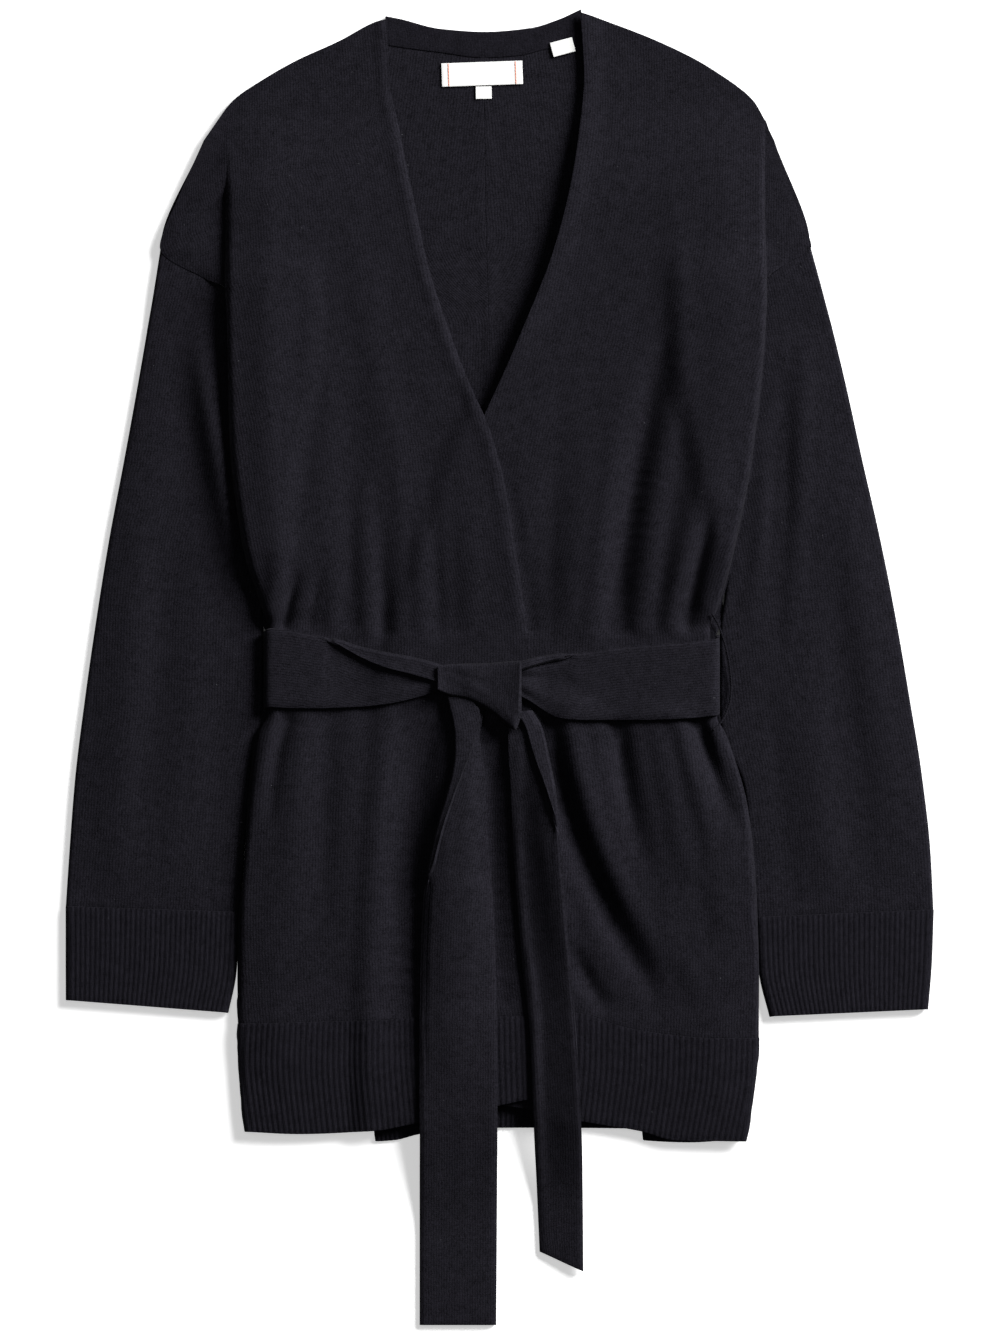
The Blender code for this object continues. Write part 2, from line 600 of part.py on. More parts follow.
def ribbed(count, plain_share=0.0):
    """Columns across a rib, a valley and a crest to each, and their thickness."""
    lines = np.linspace(plain_share, 1.0, 2 * count + 1)
    crest = np.arange(2 * count + 1) % 2
    if plain_share:
        plain = np.linspace(0.0, plain_share, 7)[:-1]
        lines = np.concatenate([plain, lines])
        crest = np.concatenate([np.zeros(6, int), crest])
    return lines, np.where(crest == 1, 1.0, RIB_CLOTH / (RIB_CLOTH + RIB_HEIGHT))


def build_backs():
    """The back, in two halves joined down its middle."""
    specs = (("back_right", BACK_RIGHT_LEVELS, BACK_SHOULDER_RIGHT, 0),
             ("back_left", BACK_LEFT_LEVELS, BACK_SHOULDER_LEFT, 2))
    for name, levels, shoulder, outer in specs:
        along = spread([row[outer:outer + 2] for row in levels], 60.0)
        x, y = patch(levels, np.linspace(0, 1, 9), along, shoulder)
        cloth(name, x, y, belt_lift(y), JERSEY, CHARCOAL)


def build_neckband():
    """The band along the back of the neck."""
    across = np.linspace(0.0, 1.0, 13)
    x, y = patch(NECKBAND_LEVELS, across, np.array([0.0, 1.0, 2.0]), NECKLINE, BAND_SEAM)
    cloth("neckband", x, y, np.zeros_like(x), BAND_CLOTH, RIB_CHARCOAL)


def build_fronts():
    """The two fronts, the wearer's right one lying over the left."""
    for name, levels, shoulder, rib_line, surface, outer, columns in (
            ("front_left", FRONT_LEFT_LEVELS, SHOULDER_LEFT, RIB_LINE_LEFT, underlap,
             2, FRONT_LEFT_COLUMNS),
            ("front_right", FRONT_RIGHT_LEVELS, SHOULDER_RIGHT, RIB_LINE_RIGHT, overlap,
             0, FRONT_RIGHT_COLUMNS)):
        along = spread([row[outer:outer + 2] for row in levels], FRONT_CELL)
        lines = side_edge_lines(columns)
        across = 1.0 - lines[::-1] if outer else lines
        bottom = [(u, a, b + 2 * GAP) for u, a, b in rib_line]
        x, y = patch(levels, across, along, shoulder, bottom)
        cloth(name, x, y, surface(x, y), JERSEY, CHARCOAL)


def build_hems():
    """The deep ribs at the hem: one to each front and one to the back."""
    along = np.array([0.0, 1.0, 2.0])
    for name, levels, top, bottom, plain_share, count, surface in (
            ("front_right_hem_rib", HEM_RIGHT_LEVELS, RIB_LINE_RIGHT, HEM_EDGE_RIGHT,
             0.0, HEM_RIGHT_RIBS, overlap),
            ("front_left_hem_rib", HEM_LEFT_LEVELS, RIB_LINE_LEFT, HEM_EDGE_LEFT,
             0.42, HEM_LEFT_RIBS, underlap)):
        across, share = ribbed(count, plain_share)
        x, y = patch(levels, across, along, top, bottom)
        cloth(name, x, y, surface(x, y), RIB_CLOTH + RIB_HEIGHT, RIB_CHARCOAL, share)
    across = np.unique(np.concatenate([np.linspace(0, 1, 13), column(HEM_EDGE_BACK, 0)]))
    x, y = patch(HEM_BACK_LEVELS, across, along, None, HEM_EDGE_BACK)
    cloth("back_hem_rib", x, y, np.zeros_like(x), RIB_CLOTH, RIB_CHARCOAL)


def flat_tube(levels, end, along, upper, wall):
    """Inner face of a tube that lies flat, given its upper wall's columns.

    Goes over the upper wall, round the edge, back along the lower wall and round again.
    Returns its plan, its fraction across, and 1 on the upper wall and 0 on the lower.
    """
    lower = np.linspace(1.0, 0.0, 7)
    across = np.concatenate([upper, [1.0], lower, [0.0], upper[:1]])
    top = np.concatenate([upper * 0 + 1, [0.5], lower * 0, [0.5], [1.0]])
    bulge = np.zeros_like(across)
    bulge[len(upper)] = TUBE_BULGE
    bulge[-2] = -TUBE_BULGE
    inset = wall + TUBE_BULGE
    narrow = [(a + inset, b, c - inset, d) for a, b, c, d in levels]
    if end:
        end = [(u, a + inset * (1 - 2 * u), b) for u, a, b in end]
    x, y = patch(narrow, across, along, end)
    return x + bulge, y, across, top


def build_sleeves():
    """Both sleeves, each a flat tube, soft and fuller along its outer side."""
    upper = (1 - np.cos(np.linspace(0.0, math.pi, 12))) / 2
    for name, levels, armhole, outer in (
            ("sleeve_right", SLEEVE_RIGHT_LEVELS, ARMHOLE_RIGHT, 0),
            ("sleeve_left", SLEEVE_LEFT_LEVELS, ARMHOLE_LEFT, 2)):
        along = spread([row[outer:outer + 2] for row in levels], SLEEVE_CELL)
        x, y, across, top = flat_tube(levels, armhole, along, upper, JERSEY)
        middle = rise(-165.0, -120.0, y) * (1 - rise(190.0, 262.0, y))
        outward = np.clip(np.abs(x) - 150.0, 0.0, 100.0) / 100.0
        waves = 0.5 + 0.5 * np.sin(9.0 * across + 0.012 * y)
        arch = np.maximum(np.sin(math.pi * across), 0.0)**0.6
        fuller = SLEEVE_HOLLOW * middle * (0.2 + 0.8 * outward * waves)
        z = JERSEY + FLAT_SLACK + top * (SLEEVE_EDGE_HOLLOW + arch * (0.2 + fuller))
        cloth(name, x, y, z, JERSEY, CHARCOAL, tube=True)


def build_cuffs():
    """The deep ribbed cuffs, ribbed where they show and level underneath."""
    upper, share = ribbed(CUFF_RIBS)
    share = np.concatenate([share, np.full(10, share[0])])
    for name, levels in (("cuff_right", CUFF_RIGHT_LEVELS), ("cuff_left", CUFF_LEFT_LEVELS)):
        x, y, across, top = flat_tube(levels, None, np.array([0.0, 1.0, 2.0]), upper,
                                      RIB_CLOTH)
        z = np.broadcast_to(RIB_CLOTH + FLAT_SLACK + top * (SLEEVE_EDGE_HOLLOW + 0.2),
                            x.shape)
        cloth(name, x, y, z, RIB_CLOTH + RIB_HEIGHT, RIB_CHARCOAL, share, tube=True)


def strip_section(edge, far, flap):
    """One cut across a belt strip, from its far edge round the fold to the flap.

    Returns places across the strip, and heights of the wall's middle above its bed.
    """
    inward = 1.0 if far > edge else -1.0
    width = abs(far - edge)
    half = BELT_CLOTH / 2
    radius = half + 0.2
    top = half + 2 * radius
    open_part = [width * share for share in (1.0, 0.8, 0.6, 0.4, 0.22)]
    flat = open_part + [0.7 * k for k in (5, 4, 3, 2, 1, 0)]
    folded = open_part + [radius * 1.5, radius * 0.3, 0.0, radius * 0.3]
    folded += [max(flap * 0.5, radius), max(flap, radius * 1.6)]
    flat_z = [half] * 11
    folded_z = [half] * 6 + [half * 1.35, half + radius, top - half * 0.35, top, top]
    turned = float(rise(0.0, 2.6, flap))
    places = [edge + inward * (a + turned * (b - a)) for a, b in zip(flat, folded)]
    heights = [a + turned * (b - a) for a, b in zip(flat_z, folded_z)]
    return np.array(places), np.array(heights)


def stretch_rows(stations, trees):
    """Rows of a belt stretch that crosses a front, along X."""
    rows = []
    for at, edge, far, flap in stations:
        places, heights = strip_section(edge, far, flap)
        x = np.full_like(places, at)
        rows.append((x, places, laid_on(trees, x, places, BELT_REACH) + BELT_SLACK + heights))
    return rows


def side_wrap(rows, outer_x):
    """Carries a stretch down the body's side, to the belt behind it."""
    x, y, z = rows[-1]
    wall_x = outer_x - math.copysign(BELT_CLOTH / 2, outer_x)
    behind = BELT_MIDDLE_Y + (y - (y.min() + y.max()) / 2) * BELT_WIDTH / np.ptp(y)
    foot = BAND_CLOTH + GAP
    for away, down in ((0.5, 0.06), (0.14, 0.28), (0.0, 0.6), (0.0, 1.0)):
        rows.append((wall_x + (x - wall_x) * away, y + (behind - y) * down,
                     z + (foot - z) * down))
    return rows


def lay_strip(name, rows):
    """Makes a belt strip of its rows."""
    x, y, z = (np.array([row[k] for row in rows]) for k in range(3))
    facing_up = np.cross((x[1, 0] - x[0, 0], y[1, 0] - y[0, 0]),
                         (x[0, 1] - x[0, 0], y[0, 1] - y[0, 0])) < 0
    if not facing_up:
        x, y, z = x[:, ::-1], y[:, ::-1], z[:, ::-1]
    cloth(name, x, y, z, BELT_CLOTH, BELT_CHARCOAL, strip=True)


def build_belt():
    """The belt: behind the body, across each front, and its two hanging ends."""
    low = BELT_MIDDLE_Y - BELT_WIDTH / 2
    x = np.linspace(BELT_LEFT_X, BELT_RIGHT_X, 7)[None, :]
    y = np.linspace(low, low + BELT_WIDTH, 3)[:, None]
    cloth("belt_back", x, y, np.zeros((3, 7)), BAND_CLOTH, BELT_CHARCOAL)
    fronts = trees_of(("front_right", "front_left"))
    for name, stations, outer_x in (
            ("belt_right_stretch", BELT_RIGHT_STATIONS, BELT_LEFT_X),
            ("belt_left_stretch", BELT_LEFT_STATIONS, BELT_RIGHT_X)):
        lay_strip(name, side_wrap(stretch_rows(stations, fronts), outer_x))
    under = trees_of(("front_right", "front_left", "front_right_hem_rib",
                      "front_left_hem_rib", "back_hem_rib"))
    for name, stations, slant in (("belt_tail_front", TAIL_FRONT_STATIONS, 0.0),
                                  ("belt_tail_back", TAIL_BACK_STATIONS, TAIL_BACK_SLANT)):
        rows = []
        for at, edge, far, flap in stations:
            places, heights = strip_section(edge, far, flap)
            y = np.full_like(places, at)
            if at == stations[-1][0]:
                y = y - slant * (places - far) / (edge - far)
            rows.append((places, y, laid_on(under, places, y, TAIL_REACH) + BELT_SLACK + heights))
        lay_strip(name, rows)


def build_knot():
    """The half knot: the belt wrapped over itself, as one rounded form."""
    number = np.arange(len(KNOT_STATIONS))
    along = np.linspace(0, len(number) - 1, 13)
    x, low, high = (smooth(number, column(KNOT_STATIONS, k), along)[None, :]
                    for k in range(3))
    v = np.linspace(0.0, 1.0, 8)[:, None]
    y = low + (high - low) * v
    x = np.broadcast_to(x, y.shape)
    u = (x - x.min()) / np.ptp(x)
    dome = np.sin(math.pi * v)**0.7 * (0.55 + 0.45 * np.sin(math.pi * u))
    under = trees_of(("front_right", "front_left", "belt_right_stretch",
                      "belt_left_stretch", "belt_tail_front", "belt_tail_back"))
    level = laid_on(under, x, y, BELT_REACH).max()
    full = KNOT_RIM + KNOT_CROWN
    cloth("belt_knot", x, y, np.full(x.shape, level), full, BELT_CHARCOAL,
          (KNOT_RIM + KNOT_CROWN * dome) / full)


def build_belt_loop():
    """The thread loop that carries the belt at the wearer's left side."""
    curve = bpy.data.curves.new("belt_loop", "CURVE")
    curve.dimensions = "3D"
    curve.bevel_depth = LOOP_RADIUS * MM
    curve.bevel_resolution = 1
    curve.use_fill_caps = True
    thread = curve.splines.new("POLY")
    number = np.arange(len(LOOP_ROUTE))
    at = np.linspace(0, len(LOOP_ROUTE) - 1, 17)
    route = np.array(LOOP_ROUTE)
    ends = [0, -1]
    front = laid_on(trees_of(("front_left",)), route[ends, 0], route[ends, 1], LOOP_RADIUS)
    route[ends, 2] = front + LOOP_RADIUS
    places = [smooth(number, route[:, k], at) for k in range(3)]
    thread.points.add(len(at) - 1)
    for point, px, py, pz in zip(thread.points, *places):
        point.co = (px * MM, py * MM, pz * MM, 1.0)
    place_piece(curve, "belt_loop", CHARCOAL)


def build_labels():
    """The sewn-in labels, left bare."""
    for name, (x, y, width, height, turn), level in (
            ("neck_label", NECK_LABEL, JERSEY + GAP),
            ("size_tab", SIZE_TAB, JERSEY + GAP),
            ("care_label", CARE_LABEL, BAND_CLOTH + GAP)):
        box = bmesh.new()
        bmesh.ops.create_cube(box, size=1.0)
        size = (width * MM, height * MM, LABEL_CLOTH * MM)
        bmesh.ops.scale(box, vec=size, verts=box.verts)
        mesh = bpy.data.meshes.new(name)
        box.to_mesh(mesh)
        box.free()
        piece = place_piece(mesh, name, SATIN_WHITE, 0.55)
        piece.location = (x * MM, y * MM, (level + LABEL_CLOTH / 2) * MM)
        piece.rotation_euler = (0.0, 0.0, math.radians(turn))
        edge = piece.modifiers.new("edge", "BEVEL")
        edge.width = 0.25 * MM
        edge.segments = 1


def build():
    """Clears the scene and makes every piece of the cardigan, from the bottom up."""
    for old in list(bpy.data.objects):
        bpy.data.objects.remove(old, do_unlink=True)
    group = bpy.data.collections.new("wrap_cardigan")
    bpy.context.scene.collection.children.link(group)
    build_backs()
    build_neckband()
    build_sleeves()
    build_cuffs()
    build_fronts()
    build_hems()
    build_belt()
    build_knot()
    build_belt_loop()
    build_labels()


build()
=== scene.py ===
"""Looks of a wrap cardigan of fine wool jersey, laid flat with its belt knotted.

The knit panels are thin shells on the same plan as the solids, with finer folds.
X runs across the garment, Y up to the neck and Z out of its front. Tables are in mm.
"""

import math

import bpy
import numpy as np
from bpy.props import FloatProperty, FloatVectorProperty, PointerProperty
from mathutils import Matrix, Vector
from mathutils.bvhtree import BVHTree


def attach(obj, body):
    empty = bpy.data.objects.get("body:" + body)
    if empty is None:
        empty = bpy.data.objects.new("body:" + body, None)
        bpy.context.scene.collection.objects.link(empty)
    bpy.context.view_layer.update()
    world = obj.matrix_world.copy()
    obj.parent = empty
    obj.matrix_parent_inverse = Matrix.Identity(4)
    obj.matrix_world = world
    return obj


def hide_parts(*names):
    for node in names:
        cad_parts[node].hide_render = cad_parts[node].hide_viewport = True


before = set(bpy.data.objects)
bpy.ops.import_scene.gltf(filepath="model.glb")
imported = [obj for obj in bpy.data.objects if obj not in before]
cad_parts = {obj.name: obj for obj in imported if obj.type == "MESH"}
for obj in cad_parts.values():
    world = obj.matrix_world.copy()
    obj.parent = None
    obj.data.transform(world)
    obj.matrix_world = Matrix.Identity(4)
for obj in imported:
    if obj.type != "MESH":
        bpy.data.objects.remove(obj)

bl_info = {
    "name": "Wrap Cardigan",
    "version": (1, 0, 0),
    "blender": (4, 5, 0),
    "location": "View3D > Sidebar > Cardigan",
    "description": "Knits the panels, ribs, belt and labels of a flat-laid wrap cardigan",
    "category": "Object",
}

MM = 0.001

# The gap that is left where two pieces meet
GAP = 0.3
# How far each sewn edge reaches into its seam, and where it has to reach further
SEAM_LAP = 0.2
BAND_LAP = 2.2
SLEEVE_LAP = 2.5
CUFF_LAP = 0.7
# Radius of the rounded rims, and the angle from which an edge counts as one
RIM = 0.55
FRONT_RIM = 0.75
BELT_RIM = 0.9
RIB_RIM = 0.3
LABEL_RIM = 0.12
RIM_ANGLE = 62

# Direction inward from the wearer's right (0) and left (1) side
INWARD = (1.0, -1.0)

# Belt, and its stretch behind the body, which the back lies over with room above and
# below it, rising and falling over a ramp; the fronts do so over longer ones
BELT_WIDTH = 50.0
BELT_MIDDLE_Y = -4.0
BELT_LEFT_X = -156.0
BELT_RIGHT_X = 145.0
BELT_CLEAR = 1.5
BELT_RAMP = 14.0
FRONT_RAMPS = (60.0, 45.0)

# Stretches along the garment: y where each begins, is full, begins to end and ends
HELD_BY_BELT = (-80.0, -31.0, 25.0, 85.0)
UNDER_BELT = (-30.0, -20.0, 14.0, 24.0)
PUFFED = (-320.0, -250.0, 330.0, 400.0)
FRONT_ON_SLEEVE = (24.0, 40.0, 252.0, 284.0)
FRONT_BESIDE_SLEEVE = (24.0, 40.0, 228.0, 244.0)
SLEEVE_BESIDE_BELT = (-60.0, -34.0, 26.0, 44.0)
SLEEVE_MIDDLE = (-165.0, -120.0, 190.0, 262.0)
# Stretches that only begin
JERSEY_BEGINS = (-236.0, -220.0)
ARMHOLE_BEGINS = (226.0, 252.0)
NECK_ROLL_BEGINS = (178.0, 215.0)
NECK_ROUND_BEGINS = (22.0, 40.0)
NECK_ROUND_DEEPENS = (190.0, 215.0)
LAP_ENDS = (177.0, 196.0)

# The fronts' sides: width of the roll at either side, the part of its height that stays
# inside it, and the distance over which the rest fades
ROLL_WIDTHS = (4.6, 3.0)
SIDE_KEEPS = 0.28
SIDE_FADE = 55.0
# A front's edge is drawn in to this much outside its roll
LEDGE_WIDTH = 2.6
# Grid columns on the roll, in mm from it, and a front's usual width for the others
ROLL_COLUMNS = (0.0, 0.12, 0.45, 1.0, 1.8, 2.8, 4.2, 6.0, 8.2)
FRONT_WIDTH = 200.0
# The fronts' soft middle, and over how much of the side it comes up
PUFF = 2.2
PUFF_SLOPE = 30.0
# What the belt takes of the sides, of the middle and of the folds
SIDES_HELD = 0.35
MIDDLE_HELD = 0.93
FOLDS_PRESSED = 0.7
# Rolled neck edge of the underlapping front: height, width, reach past the edge
NECK_ROLL = 3.0
NECK_ROLL_WIDTH = 11.0
NECK_ROLL_PAST = 4.0
# Rounded neck edge of the other: its fullness, which is highest so far inside the edge
# and so wide, and its fall, which grows by as much up the neck, and is so wide
NECK_FULL, NECK_FULL_INSIDE, NECK_FULL_WIDTH = 0.6, 4.5, 3.5
NECK_FALL, NECK_FALL_MORE, NECK_FALL_WIDTH = 0.7, 0.9, 1.5
# Where the overlapping front steps up, beside the other's hidden edge, and its slack
LAP_STEP = (-22.0, -6.0)
LAP_SLACK = 0.85

# The sleeves' inner margins under the fronts: height, where they end past the sleeve's
# edge, and how they end at the armhole, above the given y
SLEEVE_MARGIN_TOP = 5.0
MARGIN_ENDS = (2.0, 18.0)
MARGIN_ARMHOLE_Y = 248.0
MARGIN_ARMHOLE_ENDS = (-16.0, -2.0)
# Hollows of the sleeves at the edge and inside, least hollow, and rise to the shoulder
SLEEVE_EDGE_HOLLOW = 0.7
SLEEVE_HOLLOW = 2.4
SLEEVE_LEAST = 0.2
SHOULDER_RISE = 1.1
# How much lower a sleeve's top end lies, to slip under the shoulder
SLEEVE_TUCK = 0.35
# How far a sleeve's inner edge comes up to the belt, and how wide that edge is
SLEEVE_TO_BELT = 1.1
SLEEVE_EDGE = 12.0
TUBE_BULGE = 0.5
FLAT_SLACK = 0.04

# The back's sides fill out above and below the belt: middle y and width of each place,
# and how far in x at the wearer's right and left
SIDE_FILLS = ((31.0, 8.5), (-33.0, 8.0))
FILL_REACH = (-5.6, 3.8)
# The seam down the back's middle: how proud it stands, its width, a back half's width
SEAM_PROUD = 0.35
SEAM_WIDTH = 1.6
BACK_HALF_WIDTH = 160.0

# How the belt lies: slack, reach of what it rests on, spacing of its grid, and rounds of
# settling for the stretches and for the ends
BELT_SLACK = 0.15
BELT_REACH = 5.0
TAIL_REACH = 4.0
KNOT_REACH = 2.0
BELT_CELL = 4.0
BELT_SETTLES = 10
TAIL_SETTLES = 14
# Steepest fall of a hanging end past the hem
TAIL_SLOPE = 0.16
# The turned-over edge: room inside the fold, lift of the flap, and least flap that turns
FOLD_ROOM = 0.2
FLAP_LIFT = 0.9
FLAP_TURNS = 2.6
# The doubled cloth's fullness, and how fast it falls to the edges
CUSHION = 0.9
CUSHION_EDGE = 1.8
# Turn down the body's side: part of the way still out, part of the way down
SIDE_TURN = ((0.62, 0.03), (0.38, 0.09), (0.2, 0.18), (0.07, 0.32), (0.0, 0.5),
             (0.0, 0.75), (0.0, 1.0))

# The ribs' grid columns, the depth of the back hem's furrows, and the grid columns of
# the plain part under the other front
RIB_COLUMNS = 6
FURROW_SHARE = 0.65
PLAIN_COLUMNS = 33

# Ribs counted on the photograph
HEM_RIGHT_RIBS = 53
HEM_LEFT_RIBS = 39
HEM_BACK_RIBS = 94
CUFF_RIBS = 33

# Levels of each panel from the hem up: left end x, y, then right end x, y
FRONT_RIGHT_LEVELS = (
    (-171.5, -235, 20, -229.7), (-173, -205, 17.5, -205), (-171.5, -170.5, 12.8, -170.5),
    (-167.5, -130, 10, -130), (-165, -88, 9, -88), (-159.5, -46, 10.8, -46),
    (-152, -30, 14, -30), (-152, 25.5, 17, 25.5), (-156.2, 41, 15, 41), (-167.5, 77, 9.8, 77),
    (-174, 112, 4.3, 112), (-177, 150, -5.2, 150), (-178, 200, -29, 207),
    (-180, 248, -48, 263.5), (-194.5, 256.5, -56.5, 302), (-224.5, 277, -68.5, 360.5),
    (-211, 312.5, -72.5, 383), (-195.5, 347.5, -74.5, 428),
)
FRONT_LEFT_LEVELS = (
    (-79, -231.5, 169.5, -244.5), (-76.5, -200, 169.5, -200.5), (-75, -165, 168.5, -165),
    (-73, -127.5, 166.5, -127.5), (-70.5, -88, 161.5, -90), (-65.5, -46, 148.2, -46),
    (-64, -30, 141.5, -30), (-58, 25.5, 142.5, 25.5), (-54, 41, 153, 41), (-42, 77, 163, 77),
    (-30, 112, 168, 112), (-17, 150, 173, 150), (9, 209, 175, 200), (35, 274, 176, 254),
    (45, 311, 188, 265.5), (52, 352, 205.5, 277.5), (55.5, 390.5, 194, 308),
    (53, 432, 181, 347.5),
)
BACK_RIGHT_LEVELS = (
    (-171.5, -235, -5.7, -239.6), (-171.5, -170, -5, -165), (-165, -88, -4.5, -80),
    (-159, -45, -4.2, -45), (-152, -30.5, -4, -30.5), (-152, 22.5, -4.2, 22.5),
    (-153, 37, -4.4, 37), (-150, 70, -4.7, 70), (-141, 123, -5.3, 125), (-128, 211, -7.5, 225),
    (-176, 249, -8.5, 257), (-223.5, 282, -9.5, 293), (-195.5, 347.5, -11, 403.6),
)
BACK_LEFT_LEVELS = (
    (-5.4, -239.6, 169.5, -244.5), (-4.7, -165, 168, -170), (-4.2, -80, 161, -88),
    (-3.9, -45, 148, -45), (-3.7, -30.5, 141.5, -30.5), (-3.9, 22.5, 141.5, 22.5),
    (-4.1, 37, 146, 37), (-4.4, 70, 147, 70), (-5, 125, 137, 123), (-7.2, 225, 121, 210),
    (-8.2, 257, 163, 248.5), (-9.2, 293, 204.5, 282), (-10.7, 403.6, 181, 347.5),
)
# The sleeves' outer and inner edges, from the cuff up to the armhole
SLEEVE_RIGHT_LEVELS = (
    (-286.5, -158, -172, -161.5), (-284.5, -127.5, -169.4, -127.5),
    (-280.5, -75, -165.4, -77.5), (-274, -22, -157.4, -26), (-266.5, 30.5, -157.6, 26),
    (-258, 83.5, -153, 75), (-248, 136.5, -144, 125), (-238.5, 189, -136, 169.5),
    (-229.5, 242, -132, 195), (-224.2, 275.5, -131, 211),
)
SLEEVE_LEFT_LEVELS = (
    (169.3, -165, 286, -160.2), (166, -127.5, 284, -121), (161.4, -81.5, 278, -68.5),
    (146.4, -35.5, 270.5, -22), (146.4, 20, 261.5, 30.5), (150.5, 72, 251, 83.5),
    (140, 123, 239, 136.5), (130.5, 168, 227.5, 189), (125.5, 194, 214.5, 242),
    (124, 210.5, 205.2, 276.5),
)
CUFF_RIGHT_LEVELS = (
    (-286.5, -220, -179.5, -228), (-286.6, -189, -174, -200), (-286.6, -158.6, -172, -162.3),
)
CUFF_LEFT_LEVELS = (
    (178, -230.5, 282.5, -226), (171, -200, 285, -195), (169.4, -165.6, 286.2, -160.8),
)
HEM_RIGHT_LEVELS = (
    (-167.5, -306.5, 22, -284), (-173, -259.5, 21, -250), (-171.6, -235.3, 20, -230),
)
HEM_LEFT_LEVELS = (
    (-78, -286, 161.5, -313), (-79, -255, 168.8, -270), (-79, -231.9, 169.5, -244.8),
)
HEM_BACK_LEVELS = (
    (-167, -303, 161, -311.5), (-172, -259.5, 168, -270), (-171.6, -235.3, 169.5, -244.8),
)
NECKBAND_LEVELS = (
    (-73.5, 412, 52.8, 412.6), (-73.6, 421, 52, 423), (-73.6, 429.5, 51.6, 433.5),
)

# Curved ends of the panels: fraction across, x, y
SHOULDER_RIGHT = (
    (0, -195.5, 347.5), (0.15, -176, 374), (0.3, -157.5, 387), (0.5, -134, 400.5),
    (0.73, -105.5, 413.5), (0.92, -83, 425.5), (1, -74.5, 428),
)
SHOULDER_LEFT = (
    (0, 53, 432), (0.1, 65, 428), (0.25, 87, 420), (0.38, 103, 413.5), (0.59, 130, 400.5),
    (0.75, 151, 387), (0.88, 167, 374), (1, 181, 347.5),
)
BACK_SHOULDER_RIGHT = (
    (0, -195.5, 347.5), (0.125, -176, 374), (0.25, -134, 400.5), (0.375, -105.5, 413.5),
    (0.5, -74.6, 428.5), (0.625, -74.3, 411.5), (0.75, -57, 409), (0.875, -36, 406.4),
    (1, -11, 403.6),
)
BACK_SHOULDER_LEFT = (
    (0, -10.7, 403.6), (0.125, 12, 404.6), (0.25, 31.5, 409.3), (0.375, 53.4, 411.8),
    (0.5, 52.6, 432.5), (0.625, 87, 420), (0.75, 130, 400.5), (0.875, 167, 374),
    (1, 181, 347.5),
)
ARMHOLE_RIGHT = (
    (0, -224.2, 275.5), (0.08, -217.5, 270), (0.33, -193.5, 255.4), (0.45, -181.5, 247),
    (0.7, -158.5, 230), (1, -131, 211),
)
ARMHOLE_LEFT = (
    (0, 124, 210.5), (0.34, 152, 233), (0.62, 175, 253), (0.8, 188, 264.5), (1, 205.2, 276.5),
)
RIB_LINE_RIGHT = (
    (0, -171.6, -235.3), (0.31, -112, -233.8), (0.61, -55, -231.8), (1, 20, -230),
)
RIB_LINE_LEFT = (
    (0, -79, -231.9), (0.27, -13, -228.5), (0.42, 24, -226.5), (0.53, 53, -228.5),
    (0.6, 70.5, -234.2), (0.66, 86, -238.5), (0.76, 110, -242.3), (0.88, 140.5, -244.8),
    (1, 169.5, -244.8),
)
HEM_EDGE_RIGHT = (
    (0, -167.5, -306.5), (0.19, -132, -308), (0.43, -86, -306), (0.6, -53, -300),
    (0.88, -1.5, -289), (1, 22, -284),
)
HEM_EDGE_LEFT = (
    (0, -78, -286), (0.32, -0.5, -289), (0.55, 54, -299.5), (0.72, 94.5, -306.5),
    (0.81, 115.5, -312), (1, 161.5, -313),
)
HEM_EDGE_BACK = (
    (0, -167, -303), (0.25, -83.5, -303.5), (0.253, -82.5, -313.3), (0.3, -69.5, -312.5),
    (0.35, -53, -308.5), (0.45, -20, -304.5), (0.58, 22, -304.3), (0.79, 93.5, -305),
    (0.793, 94.5, -312.6), (0.89, 125.5, -314), (1, 161, -311.5),
)
NECKLINE = (
    (0, -73.6, 429.5), (0.07, -66, 428), (0.27, -39.5, 421.5), (0.5, -10, 419.5),
    (0.73, 20, 422), (0.89, 39.5, 428), (1, 51.6, 433.5),
)
BAND_SEAM = (
    (0, -73.5, 412.5), (0.13, -57, 410), (0.27, -39.5, 407.8), (0.5, -11, 404.4),
    (0.71, 13, 405.8), (0.84, 31.5, 410.3), (1, 52.8, 412.8),
)

# Sides of the fronts: y, x where the cloth rolls over at the wearer's right and left,
# then how high each side stands
SIDES = (
    (-310, -168, 162.5, 2, 2), (-235, -172, 170, 3.5, 3.5), (-170, -171.5, 168.5, 5.5, 5),
    (-88, -165, 161.5, 6.5, 6), (-46, -159.5, 148.2, 6, 5.5), (-30, -152, 141.5, 4.5, 4.5),
    (25.5, -152, 137.5, 4.5, 4.5), (41, -156.2, 143, 6.5, 6.5), (77, -167.5, 153, 8.2, 9),
    (150, -177, 166.5, 7.4, 8.5), (250, -180, 174.5, 6.4, 7), (308, -180, 173.5, 5.4, 5),
    (345, -183, 174, 2, 2), (365, -186, 175, 0, 0),
)
# The underlapping front's hidden free edge: y, x
UNDERLAP_EDGE = (
    (-290, -79), (-230, -79), (-88, -70.5), (25, -58), (77, -42), (112, -30), (150, -17),
    (175, -5.5),
)
# The underlapping front's rolled neck edge: y, x
NECK_EDGE_LEFT = (
    (150, -17), (175, -7.5), (209, 9), (254, 27.5), (311, 45), (364, 53.5), (400, 55.5),
    (432, 53),
)

